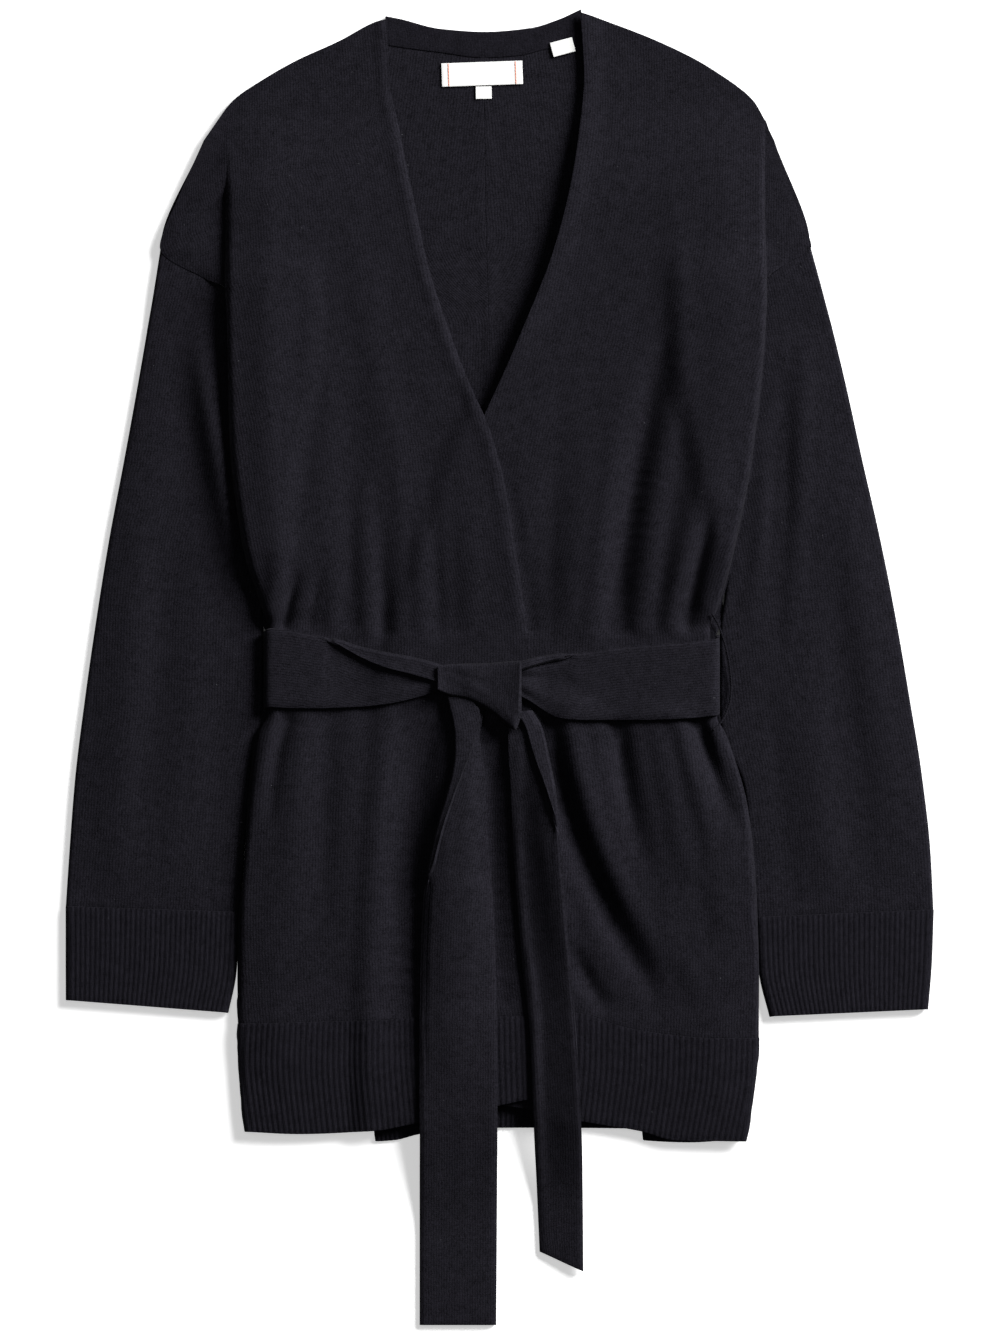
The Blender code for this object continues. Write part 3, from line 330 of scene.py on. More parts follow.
# Largest folds of the fronts: three points of the fold, half width, height, and where
# along it the fold is strongest; a negative height is a trough
FOLDS = (
    # below the belt, on the left
    (29, -24, 36, -80, 55, -124, 7.5, -6.5, 0.5),
    (49, -112, 66, -155, 103, -219, 7.5, -6.5, 0.35),
    (46, -30, 54, -112, 114, -204, 8, 5, 0.35), (77, -32, 81, -74, 94, -135, 6, -4.6, 0.2),
    (104, -38, 112, -90, 130, -170, 9, 2.5, 0.3),
    (130, -36, 141, -64, 155, -112, 5.5, -6.5, 0.25),
    (118, -38, 128, -75, 146, -140, 6, 3, 0.2), (47, -187, 58, -208, 74, -232, 6, -3.5, 0.4),
    # above the belt, on the left
    (76, 30, 88, 140, 114, 236, 9, -5, 0.3), (92, 30, 100, 130, 128, 220, 10, 3.5, 0.3),
    (123, 30, 132, 68, 143, 112, 5.5, -6, 0.2), (112, 30, 122, 80, 140, 150, 7, 3, 0.2),
    (45, 32, 52, 90, 60, 170, 10, 2, 0.3),
    # above the belt, on the right
    (-142.5, 28, -139, 44, -132, 66, 4, -4.5, 0.2), (-150, 36, -146, 60, -140, 90, 6, 3, 0.3),
    (-77, 24, -78, 50, -80, 100, 6, -2.2, 0.2), (-86, 24, -86, 60, -90, 130, 7, 2.2, 0.2),
    (-40, 24, -41, 60, -46, 120, 6, -1.8, 0.2), (-60, 60, -72, 160, -100, 300, 12, 1.6, 0.5),
    # below the belt, on the right, beside the hanging belt end
    (-42, -34, -60, -110, -58, -280, 14, -3.5, 0.35),
    (-80, -40, -88, -120, -92, -250, 16, 2, 0.4),
    (-140, -36, -150, -60, -152, -110, 5, -3, 0.2),
)
# Finer creases of the fronts, with the same columns
CREASES = (
    # just outside the lower end of the overlapping neck edge
    (19, 26, 14, 84, 1, 142, 4, -1.6, 0.3),
    # chest and shoulder, on the right: long and faint
    (-150, 60, -156, 170, -150, 320, 9, 1, 0.5),
    (-132, 50, -137, 150, -128, 290, 8, -1.1, 0.5),
    (-112, 60, -116, 150, -112, 260, 9, 0.9, 0.4), (-98, 30, -100, 90, -96, 180, 6, -1, 0.3),
    (-68, 30, -66, 90, -64, 170, 5, 0.9, 0.3), (-52, 26, -53, 70, -52, 130, 5, 0.8, 0.2),
    (-30, 26, -29, 60, -33, 110, 4.5, -0.9, 0.2), (-18, 26, -16, 70, -22, 130, 5, 0.7, 0.3),
    (-126, 28, -123, 44, -116, 70, 4, -1.6, 0.2), (-112, 28, -110, 44, -106, 62, 4, 1.2, 0.2),
    # chest and shoulder, on the left
    (30, 40, 34, 100, 40, 190, 7, -1.2, 0.3), (62, 32, 66, 90, 78, 180, 6, 1.2, 0.3),
    (104, 30, 110, 90, 124, 190, 6, -1.2, 0.3), (134, 44, 140, 90, 148, 150, 5, 1.6, 0.3),
    (84, 26, 97, 110, 112, 200, 13, -1.8, 0.2), (60, 26, 70, 110, 86, 210, 12, 1.6, 0.2),
    (110, 180, 120, 260, 112, 330, 10, 0.9, 0.5), (22, 26, 21, 60, 24, 110, 4.5, -1, 0.2),
    # below the belt, on the right
    (-112, -34, -118, -90, -118, -180, 8, -1.1, 0.3),
    (-98, -34, -104, -100, -106, -200, 8, 1.1, 0.3),
    (-128, -36, -136, -90, -138, -190, 8, 1.2, 0.3),
    (-68, -32, -72, -80, -74, -160, 7, -1, 0.2),
    (-148, -32, -154, -50, -158, -90, 3.5, 1.5, 0.2),
    (-7, -30, -6, -110, 1, -240, 11, -6.2, 0.25),
    (-30, -40, -30, -150, -28, -290, 14, 4.4, 0.4),
    (-52, -30, -72, -130, -68, -290, 13, -3.6, 0.35),
    (28, -60, 36, -120, 48, -230, 7, 2.6, 0.45),
    # below the belt, on the left
    (61, -34, 66, -100, 118, -186, 8, 1.6, 0.3), (34, -30, 34, -90, 58, -140, 6, -2, 0.3),
    (90, -40, 98, -100, 120, -190, 6, 1.2, 0.3),
    (140, -40, 148, -80, 158, -150, 4.5, 1.4, 0.3),
    (124, -130, 134, -160, 146, -200, 8, -1.3, 0.5),
    (100, -150, 116, -190, 140, -230, 7, 1, 0.5), (84, -160, 96, -200, 108, -240, 6, -1, 0.5),
    (36, -60, 44, -130, 70, -200, 5, 1.2, 0.4),
)
# Long soft folds of the sleeves, with the same columns
SLEEVE_FOLDS = (
    # the wearer's right
    (-203, 236, -187, 135, -166, 50, 7.5, 6.4, 0.55),
    (-219, 215, -204, 110, -180, 30, 9, -1.2, 0.5),
    (-262, -150, -246, 20, -226, 180, 11, 1.2, 0.5),
    (-240, -150, -228, 0, -214, 120, 10, -1.1, 0.4),
    (-216, -150, -206, -40, -200, 60, 11, 1.2, 0.4),
    (-190, -150, -184, -60, -180, 10, 8, -1.2, 0.4),
    # the wearer's left
    (202, 215, 199, 120, 190, 10, 7, 1.8, 0.4), (189, 204, 186, 110, 180, 0, 7, -2.4, 0.5),
    (177, 150, 172, 90, 164, 20, 5, 1.8, 0.5), (262, -150, 246, 20, 224, 180, 11, 1.2, 0.5),
    (240, -150, 226, 10, 212, 150, 10, -1.2, 0.4),
    (216, -150, 206, -40, 200, 60, 11, 1.2, 0.4), (190, -150, 182, -60, 176, 0, 8, -1.3, 0.4),
)
# Creases that the knot pulls into the belt
BELT_CREASES = (
    (14, -6, 24, -8, 44, -6, 2.2, -1, 0.1), (14, -12, 24, -17, 40, -22, 2.4, 0.9, 0.1),
    (15, -16, 22, -22, 33, -30, 2.2, -1.2, 0.1), (16, -2, 34, 0, 60, 3, 3, 0.7, 0.2),
    (-40, -6, -56, -10, -80, -14, 3, -0.6, 0.1), (-42, -12, -60, -16, -84, -20, 3, 0.6, 0.2),
)
# Creases on the knot itself
KNOT_CREASES = (
    (-34, -3, -20, -7, -4, -12, 2.6, -0.35, 0.4), (-30, -10, -14, -15, 2, -24, 2.8, 0.4, 0.5),
    (2, -26, 6, -31, 9, -38, 2.4, 0.3, 0.5),
)

# Belt stretches: x, upper edge y, lower edge y, width of the turned-over upper edge
BELT_RIGHT_STATIONS = (
    (-38.5, 0.5, -14.5, 11.5), (-45, 2.5, -17, 11), (-57, 5.5, -20.5, 10.5),
    (-73, 8.5, -24, 9.5), (-90, 12, -26, 6.5), (-107, 17.5, -26.7, 3), (-120, 20.8, -26.9, 0),
    (-136, 23.8, -26.8, 0), (-150, 25.2, -26.2, 0),
)
BELT_LEFT_STATIONS = (
    (11.5, 1.3, -18, 4.5), (15.5, 3.2, -20.2, 4.4), (20, 4.6, -22.5, 4.2),
    (29, 6.5, -28.5, 3.6), (40, 8, -33.5, 2.6), (56, 9.8, -34.6, 0), (78, 12.8, -34.6, 0),
    (103, 15, -34.4, 0), (124, 16.5, -33.6, 0), (139, 18, -32, 0),
)
# Hanging belt ends: y, folded edge x, other edge x, width of the turned-over strip
TAIL_FRONT_STATIONS = (
    (-19.5, -34.5, -14, 12), (-28, -32.5, -11, 19), (-36.5, -30.5, -12, 17.5),
    (-45, -29.3, -13.6, 13.5), (-56, -29.2, -12, 10), (-68, -30.5, -10.5, 6.5),
    (-84, -34.5, -9.6, 4.5), (-104, -40.5, -8.8, 3.8), (-128, -46, -6.8, 3.2),
    (-150, -50, -5.3, 0), (-194, -52, -3.3, 0), (-240, -52.6, -2.2, 0), (-284, -52.8, -2, 0),
    (-292, -52.8, -2, 0), (-300, -52.8, -2, 0), (-308, -52.8, -2, 0), (-317, -52.8, -2, 0),
    (-330, -52.9, -2.1, 0), (-380, -53, -2.4, 0), (-434.5, -53, -2.8, 0),
)
TAIL_BACK_STATIONS = (
    (-29, 20.5, 5.5, 10), (-40, 27, 5.5, 10), (-59.5, 31.5, 6, 8.5), (-80, 35.5, 7.5, 5.2),
    (-98, 37.6, 8.2, 2.2), (-122, 40, 9.3, 0), (-146, 42, 10.7, 0), (-192, 46, 14.5, 0),
    (-240, 49.8, 20, 0), (-284, 52.6, 21.8, 0), (-292, 53, 22.1, 0), (-300, 53.4, 22.5, 0),
    (-308, 53.7, 22.9, 0), (-317, 54, 23.3, 0), (-330, 54.3, 24, 0), (-386, 55, 26.5, 0),
)
# The slanting end of the back tail, and how far its outer edge stands
# above its inner one: at y, lift
TAIL_BACK_SLANT = 13.0
TAIL_BACK_LEAN = (
    (-386, 2), (-310, 5), (-240, 7), (-100, 7.5), (-60, 5), (-29, 0),
)

# Outline of the knot: lower and upper edge at each x
KNOT_STATIONS = (
    (-41.5, -15, 0.5), (-34, -18.5, 1.8), (-23, -21.5, 2.4), (-10, -27.5, 2.6), (3, -37, 3.6),
    (10, -41.5, 4.1), (14.3, -32, 4),
)
# Its thickness at the rim, what the middle adds, and room for its creases
KNOT_RIM = 2.0
KNOT_CROWN = 5.0
KNOT_ROOM = 1.0
# Part of the thickness where it comes out of the belt, and where along it is full
KNOT_START = 0.35
KNOT_FULL_AT = 0.45

# The thread loop at the wearer's left side: x, y, z; its ends are laid on the front
LOOP_ROUTE = (
    (139.5, 35, 9), (143.5, 28.5, 9.5), (147.5, 17.5, 8.5), (151, 3, 7), (152.5, -12, 6.5),
    (151.8, -22, 6.5), (149.3, -29.5, 7.5), (145.5, -36.5, 9), (140.5, -41.5, 9),
)
LOOP_RADIUS = 0.9
# Radius of each thread, and the length of its full twist
THREAD_RADIUS = 0.42
THREAD_TWIST = 3.2

# Labels on the inside of the back: centre x, y, width, height, turn in degrees
NECK_LABEL = (-11.8, 391.7, 53.5, 15.5, 2.0)
SIZE_TAB = (-10.8, 379.2, 10.5, 8.2, 1.0)
CARE_LABEL = (41.4, 409.2, 15.0, 9.6, 15.0)
LABEL_SLACK = 0.15
# Stitches at the neck label's ends: how far in, width, room above and below, slack over
# the label, thickness
STITCH_INSET = 4.6
STITCH_WIDTH = 0.7
STITCH_ROOM = 0.6
STITCH_SLACK = 0.05
STITCH_WALL = 0.12

# The photograph's frame: its height, and how high over the floor it is measured
FRAME_HEIGHT = 880.4
FRAME_Z = 4.0
# Lamps: place, size, power
LAMPS = (("key_light", (4.0, 3.0, 2.45), 2.4, 805.0),
         ("top_light", (-0.6, 0.3, 3.6), 2.4, 9.0))
SKY_STRENGTH = 0.045
# The paper's painted glow, which washes out the shadows cast on it, and the box under the body
# that has none: middle and half size
PAPER_GLOW = 0.5
UNDER_BODY = (("X", 0.0, 186.0), ("Y", 70.0, 240.0))


def smooth(knots, values, at):
    """Follows a few measured values with a curve that never overshoots them."""
    knots = np.asarray(knots, float)
    values = np.asarray(values, float)
    step = np.diff(knots)
    slope = np.diff(values) / step
    tangent = np.zeros_like(values)
    tangent[0], tangent[-1] = slope[0], slope[-1]
    both = slope[:-1] * slope[1:]
    rising = both > 0
    harmonic = 2.0 * both[rising] / (slope[:-1] + slope[1:])[rising]
    tangent[1:-1][rising] = harmonic
    at = np.clip(np.asarray(at, float), knots[0], knots[-1])
    span = np.clip(np.searchsorted(knots, at, side="right") - 1, 0, len(step) - 1)
    h = step[span]
    t = (at - knots[span]) / h
    start, end = values[span], values[span + 1]
    start_pull, end_pull = tangent[span] * h, tangent[span + 1] * h
    return (start * (2 * t**3 - 3 * t**2 + 1) + start_pull * (t**3 - 2 * t**2 + t)
            + end * (3 * t**2 - 2 * t**3) + end_pull * (t**3 - t**2))


def column(table, index):
    """One column of a table."""
    return [row[index] for row in table]


def rise(low, high, x):
    """Goes smoothly from 0 at low to 1 at high."""
    t = np.clip((np.asarray(x, float) - low) / (high - low), 0.0, 1.0)
    return t * t * (3.0 - 2.0 * t)


def within(stretch, y):
    """Goes smoothly from 0 to 1 and back to 0 over a stretch."""
    begins, full, falls, ends = stretch
    return rise(begins, full, y) - rise(falls, ends, y)


def hump(distance, width):
    """A smooth hump: 1 in its middle, and a third of that at its width."""
    return np.exp(-(distance / width)**2)


def outer_edge(levels, side):
    """Points along a panel's outer edge, at the wearer's right (0) or left (1)."""
    return [row[2 * side:2 * side + 2] for row in levels]


def spread(points, cell):
    """Grid lines through every knot, with cells of about the given size between."""
    lines = [0.0]
    for number, (a, b) in enumerate(zip(points, points[1:])):
        cells = max(1, round(math.dist(a, b) / cell))
        lines += [number + (k + 1) / cells for k in range(cells)]
    return np.array(lines)


def patch(levels, across, along, top=None, bottom=None):
    """Plan of a panel: straight levels between its side edges, with curved ends.

    Across is a row of fractions, or a table of them with a row for each level.
    """
    number = np.arange(len(levels))
    last = len(levels) - 1
    edge = [smooth(number, column(levels, k), along)[:, None] for k in range(4)]
    u = np.atleast_2d(np.asarray(across))
    v = np.asarray(along)[:, None]
    x = edge[0] * (1 - u) + edge[2] * u
    y = edge[1] * (1 - u) + edge[3] * u
    depth = min(2.0, last)
    ends = ((top, rise(last - depth, last, v), -1), (bottom, 1 - rise(0, depth, v), 0))
    for table, weight, end in ends:
        if table is None:
            continue
        curve_x = smooth(column(table, 0), column(table, 1), u)
        curve_y = smooth(column(table, 0), column(table, 2), u)
        chord_x = levels[end][0] * (1 - u) + levels[end][2] * u
        chord_y = levels[end][1] * (1 - u) + levels[end][3] * u
        x = x + weight * (curve_x - chord_x)
        y = y + weight * (curve_y - chord_y)
    return x, y


def belt_lift(y, above=BELT_RAMP, below=BELT_RAMP):
    """The back rises over the belt's stretch behind it; the fronts do so more gently."""
    low = BELT_MIDDLE_Y - BELT_WIDTH / 2 - BELT_CLEAR
    high = BELT_MIDDLE_Y + BELT_WIDTH / 2 + BELT_CLEAR
    return (wall("band") + GAP) * within((low - below, low, high, high + above), y)


def meet(x, y, *edges, lap=SEAM_LAP):
    """Carries a panel's sewn edges out by the seam's lap, so that no light shows through."""
    x, y = x.copy(), y.copy()
    for edge in edges:
        line, inner = (0, 1) if edge in ("bottom", "left") else (-1, -2)
        if edge in ("bottom", "top"):
            at, near = (line, slice(None)), (inner, slice(None))
        else:
            at, near = (slice(None), line), (slice(None), inner)
        out_x, out_y = x[at] - x[near], y[at] - y[near]
        step = lap / np.hypot(out_x, out_y)
        x[at] += out_x * step
        y[at] += out_y * step
    return x, y


def wall(piece):
    """Thickness of a piece's cloth in mm, from the sizes in the panel."""
    return getattr(bpy.context.scene.cardigan_sizes, piece + "_wall") / MM


def rib_extra(y):
    """How much thicker than jersey the cloth is, in the hem's rib and a little above."""
    return (wall("rib") - wall("jersey")) * (1 - rise(*JERSEY_BEGINS, y))


def fold_line(y, side):
    """Where the cloth rolls over at the wearer's right (0) or left (1) side."""
    return smooth(column(SIDES, 0), column(SIDES, 1 + side), y)


def sleeve_edge(y, side):
    """Inner edge of a sleeve, which runs under the fronts."""
    levels = SLEEVE_LEFT_LEVELS if side else SLEEVE_RIGHT_LEVELS
    first = 0 if side else 2
    return smooth(column(levels, first + 1), column(levels, first), y)


def bed(x, y):
    """What the fronts lie on: the back, and the sleeves' inner margins."""
    height = belt_lift(y, *FRONT_RAMPS) + wall("jersey") + rib_extra(y) + GAP
    for side, inward in enumerate(INWARD):
        past_sleeve = inward * (x - sleeve_edge(y, side))
        past_fold = inward * (x - fold_line(y, side))
        over = (1 - rise(*MARGIN_ENDS, past_sleeve)) * within(FRONT_ON_SLEEVE, y)
        over = over * np.where(y < MARGIN_ARMHOLE_Y, 1.0,
                               rise(*MARGIN_ARMHOLE_ENDS, past_fold))
        height = np.maximum(height, height + over * (SLEEVE_MARGIN_TOP - height))
    return height


def relief(x, y, table):
    """Sum of a table's folds at each point."""
    total = np.zeros(np.broadcast(x, y).shape)
    t = np.linspace(0.0, 1.0, 25)
    for x0, y0, x1, y1, x2, y2, width, height, peak in table:
        fold_x, fold_y = (a * (1 - t)**2 + 2 * b * t * (1 - t) + c * t**2
                          for a, b, c in ((x0, x1, x2), (y0, y1, y2)))
        reach = 3 * width
        near = ((x > fold_x.min() - reach) & (x < fold_x.max() + reach)
                & (y > fold_y.min() - reach) & (y < fold_y.max() + reach))
        away = np.hypot(x[near][:, None] - fold_x, y[near][:, None] - fold_y)
        at = away.argmin(axis=1)
        strength = 1 - ((t[at] - peak) / max(peak, 1 - peak))**2
        total[near] += height * strength * hump(away.min(axis=1), width)
    return total


def loft(x, y):
    """How far the fronts stand off their bed: full sides, soft middle, and folds."""
    held = within(HELD_BY_BELT, y)
    side_height = np.zeros(np.broadcast(x, y).shape)
    for side, inward in enumerate(INWARD):
        past = inward * (x - fold_line(y, side))
        tall = smooth(column(SIDES, 0), column(SIDES, 3 + side), y)
        roll = ROLL_WIDTHS[side]
        fade = SIDE_KEEPS + (1 - SIDE_KEEPS) * hump(np.maximum(past - roll, 0.0), SIDE_FADE)
        t = np.clip(past / roll, 0.0, 1.0)
        side_height += tall * np.sqrt(t * (2.0 - t)) * fade
    inside = np.minimum(x - fold_line(y, 0), fold_line(y, 1) - x)
    puff = PUFF * within(PUFFED, y) * rise(0.0, PUFF_SLOPE, inside)
    neck_edge = smooth(column(NECK_EDGE_LEFT, 0), column(NECK_EDGE_LEFT, 1), y)
    rolled = NECK_ROLL * hump(x - neck_edge, NECK_ROLL_WIDTH) * rise(*NECK_ROLL_BEGINS, y)
    rolled = rolled * (x > neck_edge - NECK_ROLL_PAST)
    folds = relief(x, y, FOLDS) + relief(x, y, CREASES) * rise(0.0, 6.0, inside)
    standing = side_height * (1 - SIDES_HELD * held)
    standing = standing + (puff + rolled) * (1 - MIDDLE_HELD * held)
    standing = standing + folds * (1 - FOLDS_PRESSED * within(UNDER_BELT, y))
    # below nothing it eases out instead of stopping short
    return 0.5 * (standing + np.sqrt(standing**2 + 0.6))


def underlap(x, y):
    """Inner face of the underlapping front, and of the other where it lies alone."""
    return bed(x, y) + loft(x, y)


def overlap(x, y):
    """Inner face of the overlapping front, which steps up onto the other."""
    hidden = smooth(column(UNDERLAP_EDGE, 0), column(UNDERLAP_EDGE, 1), y)
    covered = rise(*LAP_STEP, x - hidden) * (1 - rise(*LAP_ENDS, y))
    across = (underlap(x + 1.0, y) - underlap(x - 1.0, y)) / 2.0
    along = (underlap(x, y + 1.0) - underlap(x, y - 1.0)) / 2.0
    slant = np.sqrt(1.0 + across**2 + along**2)
    step_up = wall("jersey") + rib_extra(y) + GAP + LAP_SLACK
    height = underlap(x, y) + covered * step_up * slant
    # its knitted neck edge is full and rounds down
    upper = FRONT_RIGHT_LEVELS[4:]
    inside = smooth(column(upper, 3), column(upper, 2), y) - x
    fall = NECK_FALL + NECK_FALL_MORE * rise(*NECK_ROUND_DEEPENS, y)
    rounded = (NECK_FULL * hump(inside - NECK_FULL_INSIDE, NECK_FULL_WIDTH)
               - fall * hump(inside, NECK_FALL_WIDTH))
    rounded = rounded * rise(*NECK_ROUND_BEGINS, y) * (inside > -6.0)
    return np.maximum(height + rounded, bed(x, y) + GAP)


def trees_of(names):
    """Search trees of the pieces that the next one is laid on."""
    graph = bpy.context.evaluated_depsgraph_get()
    return [BVHTree.FromObject(bpy.data.objects[name], graph) for name in names]


def laid_on(trees, x, y, reach):
    """Height of what lies below each point, the highest within a reach of it."""
    turns = [(0.0, 0.0)]
    for away, count in ((reach / 2, 6), (reach, 10)):
        turns += [(away * math.cos(2 * math.pi * k / count),
                   away * math.sin(2 * math.pi * k / count)) for k in range(count)]
    height = np.full(x.shape, -BELT_SLACK)
    down = Vector((0.0, 0.0, -1.0))
    for place in np.ndindex(x.shape):
        for dx, dy in turns:
            start = Vector(((x[place] + dx) * MM, (y[place] + dy) * MM, 1.0))
            for tree in trees:
                hit = tree.ray_cast(start, down)[0]
                if hit is not None:
                    height[place] = max(height[place], hit.z / MM + GAP)
    return height


def settled(height, times):
    """Lets a laid strip's height run evenly along it, never below what it lies on."""
    smoothed = height.copy()
    for _ in range(times):
        padded = np.pad(smoothed, ((1, 1), (1, 1)), mode="edge")
        near = (padded[:-2, 1:-1] + padded[2:, 1:-1] + padded[1:-1, :-2] + padded[1:-1, 2:])
        smoothed = np.maximum(height, 0.5 * smoothed + 0.125 * near)
    return smoothed


def eased(height, y, slope):
    """Lets a hanging end come down past the hem no steeper than a slope."""
    eased_height = height.copy()
    for row in range(1, len(height)):
        fall = slope * np.abs(y[row - 1] - y[row])
        eased_height[row] = np.maximum(height[row], eased_height[row - 1] - fall)
    return eased_height


def even_bed(height, u, v):
    """A gently curved bed through most of the heights that a thick piece lies on."""
    u, v = (np.broadcast_to(a, height.shape).reshape(-1) for a in (u, v))
    terms = np.stack([np.ones_like(u), u, v, u * u, u * v, v * v], axis=1)
    fit = np.linalg.lstsq(terms, height.reshape(-1), rcond=None)[0]
    bed_height = (terms @ fit).reshape(height.shape)
    return bed_height + np.percentile(height - bed_height, 80)


def cloth(name, x, y, z, thickness, finish, share=None, tube=False, strip=False,
          rim=RIM):
    """A fine grid laid on given points, thickened, with rounded rims and a cut-size UV.

    Share is each point's part of the full thickness. A tube's last column is its first.
    """
    x, y, z = np.broadcast_arrays(x, y, z)
    rows, columns = x.shape
    ring = columns - 1 if tube else columns
    points = np.stack([x, y, z], axis=-1) * MM
    j, i = np.mgrid[0:rows - 1, 0:columns - 1]
    corners = ((j, i), (j, i + 1), (j + 1, i + 1), (j + 1, i))
    faces = np.stack([a * ring + b % ring for a, b in corners], axis=-1).reshape(-1, 4)
    over = np.linalg.norm(np.diff(points, axis=1), axis=2)
    up = np.linalg.norm(np.diff(points, axis=0), axis=2)
    cut_u = np.pad(np.cumsum(over, axis=1), ((0, 0), (1, 0)))
    cut_u = cut_u - cut_u[:, columns // 2][:, None]
    cut_v = np.pad(np.cumsum(up, axis=0), ((1, 0), (0, 0)))
    mesh = bpy.data.meshes.new(name)
    mesh.from_pydata(points[:, :ring].reshape(-1, 3).tolist(), [], faces.tolist())
    uv = mesh.uv_layers.new(name="cut")
    chart = np.stack([np.stack([cut_u[a, b], cut_v[a, b]], axis=-1) for a, b in corners],
                     axis=-2)
    uv.data.foreach_set("uv", chart.reshape(-1))
    mesh.shade_smooth()
    piece = bpy.data.objects.new(name, mesh)
    bpy.context.collection.objects.link(piece)
    solid = piece.modifiers.new("wall", "SOLIDIFY")
    solid.thickness = thickness * MM
    solid.offset = 0.0 if strip else 1.0
    solid.use_even_offset = not strip
    if share is not None:
        group = piece.vertex_groups.new(name="thickness")
        share = np.broadcast_to(share, (rows, columns))[:, :ring].reshape(-1)
        for value in np.unique(share.round(4)):
            group.add(np.flatnonzero(share.round(4) == value).tolist(), float(value),
                      "REPLACE")
        solid.vertex_group = "thickness"
    if rim:
        rounded = piece.modifiers.new("rim", "BEVEL")
        rounded.width = rim * MM
        rounded.segments = 3
        rounded.limit_method = "ANGLE"
        rounded.angle_limit = math.radians(RIM_ANGLE)
        rounded.harden_normals = False
    mesh.materials.append(bpy.data.materials[finish])
    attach(piece, "root")
    return piece


def linear(code):
    """Turns an sRGB hex colour into linear values."""
    parts = [int(code[k:k + 2], 16) / 255 for k in (0, 2, 4)]
    return tuple(c / 12.92 if c <= 0.04045 else ((c + 0.055) / 1.055)**2.4 for c in parts)


def add_node(tree, kind, settings=None, values=None, links=None):
    """Adds a node with its settings, its socket values and the links into it."""
    made = tree.nodes.new(kind)
    for key, value in (settings or {}).items():
        setattr(made, key, value)
    for key, value in (values or {}).items():
        made.inputs[key].default_value = value
    for key, source in (links or {}).items():
        tree.links.new(source, made.inputs[key])
    return made


def new_finish(name, roughness, sheen, specular=0.25):
    """A cloth finish with its plain numbers set on the shader itself."""
    finish = bpy.data.materials.new(name)
    finish.use_nodes = True
    shader = finish.node_tree.nodes["Principled BSDF"]
    shader.inputs["Roughness"].default_value = roughness
    shader.inputs["IOR"].default_value = 1.5
    shader.inputs["Specular IOR Level"].default_value = specular
    shader.inputs["Sheen Weight"].default_value = sheen
    shader.inputs["Sheen Roughness"].default_value = 0.45
    return finish.node_tree, shader


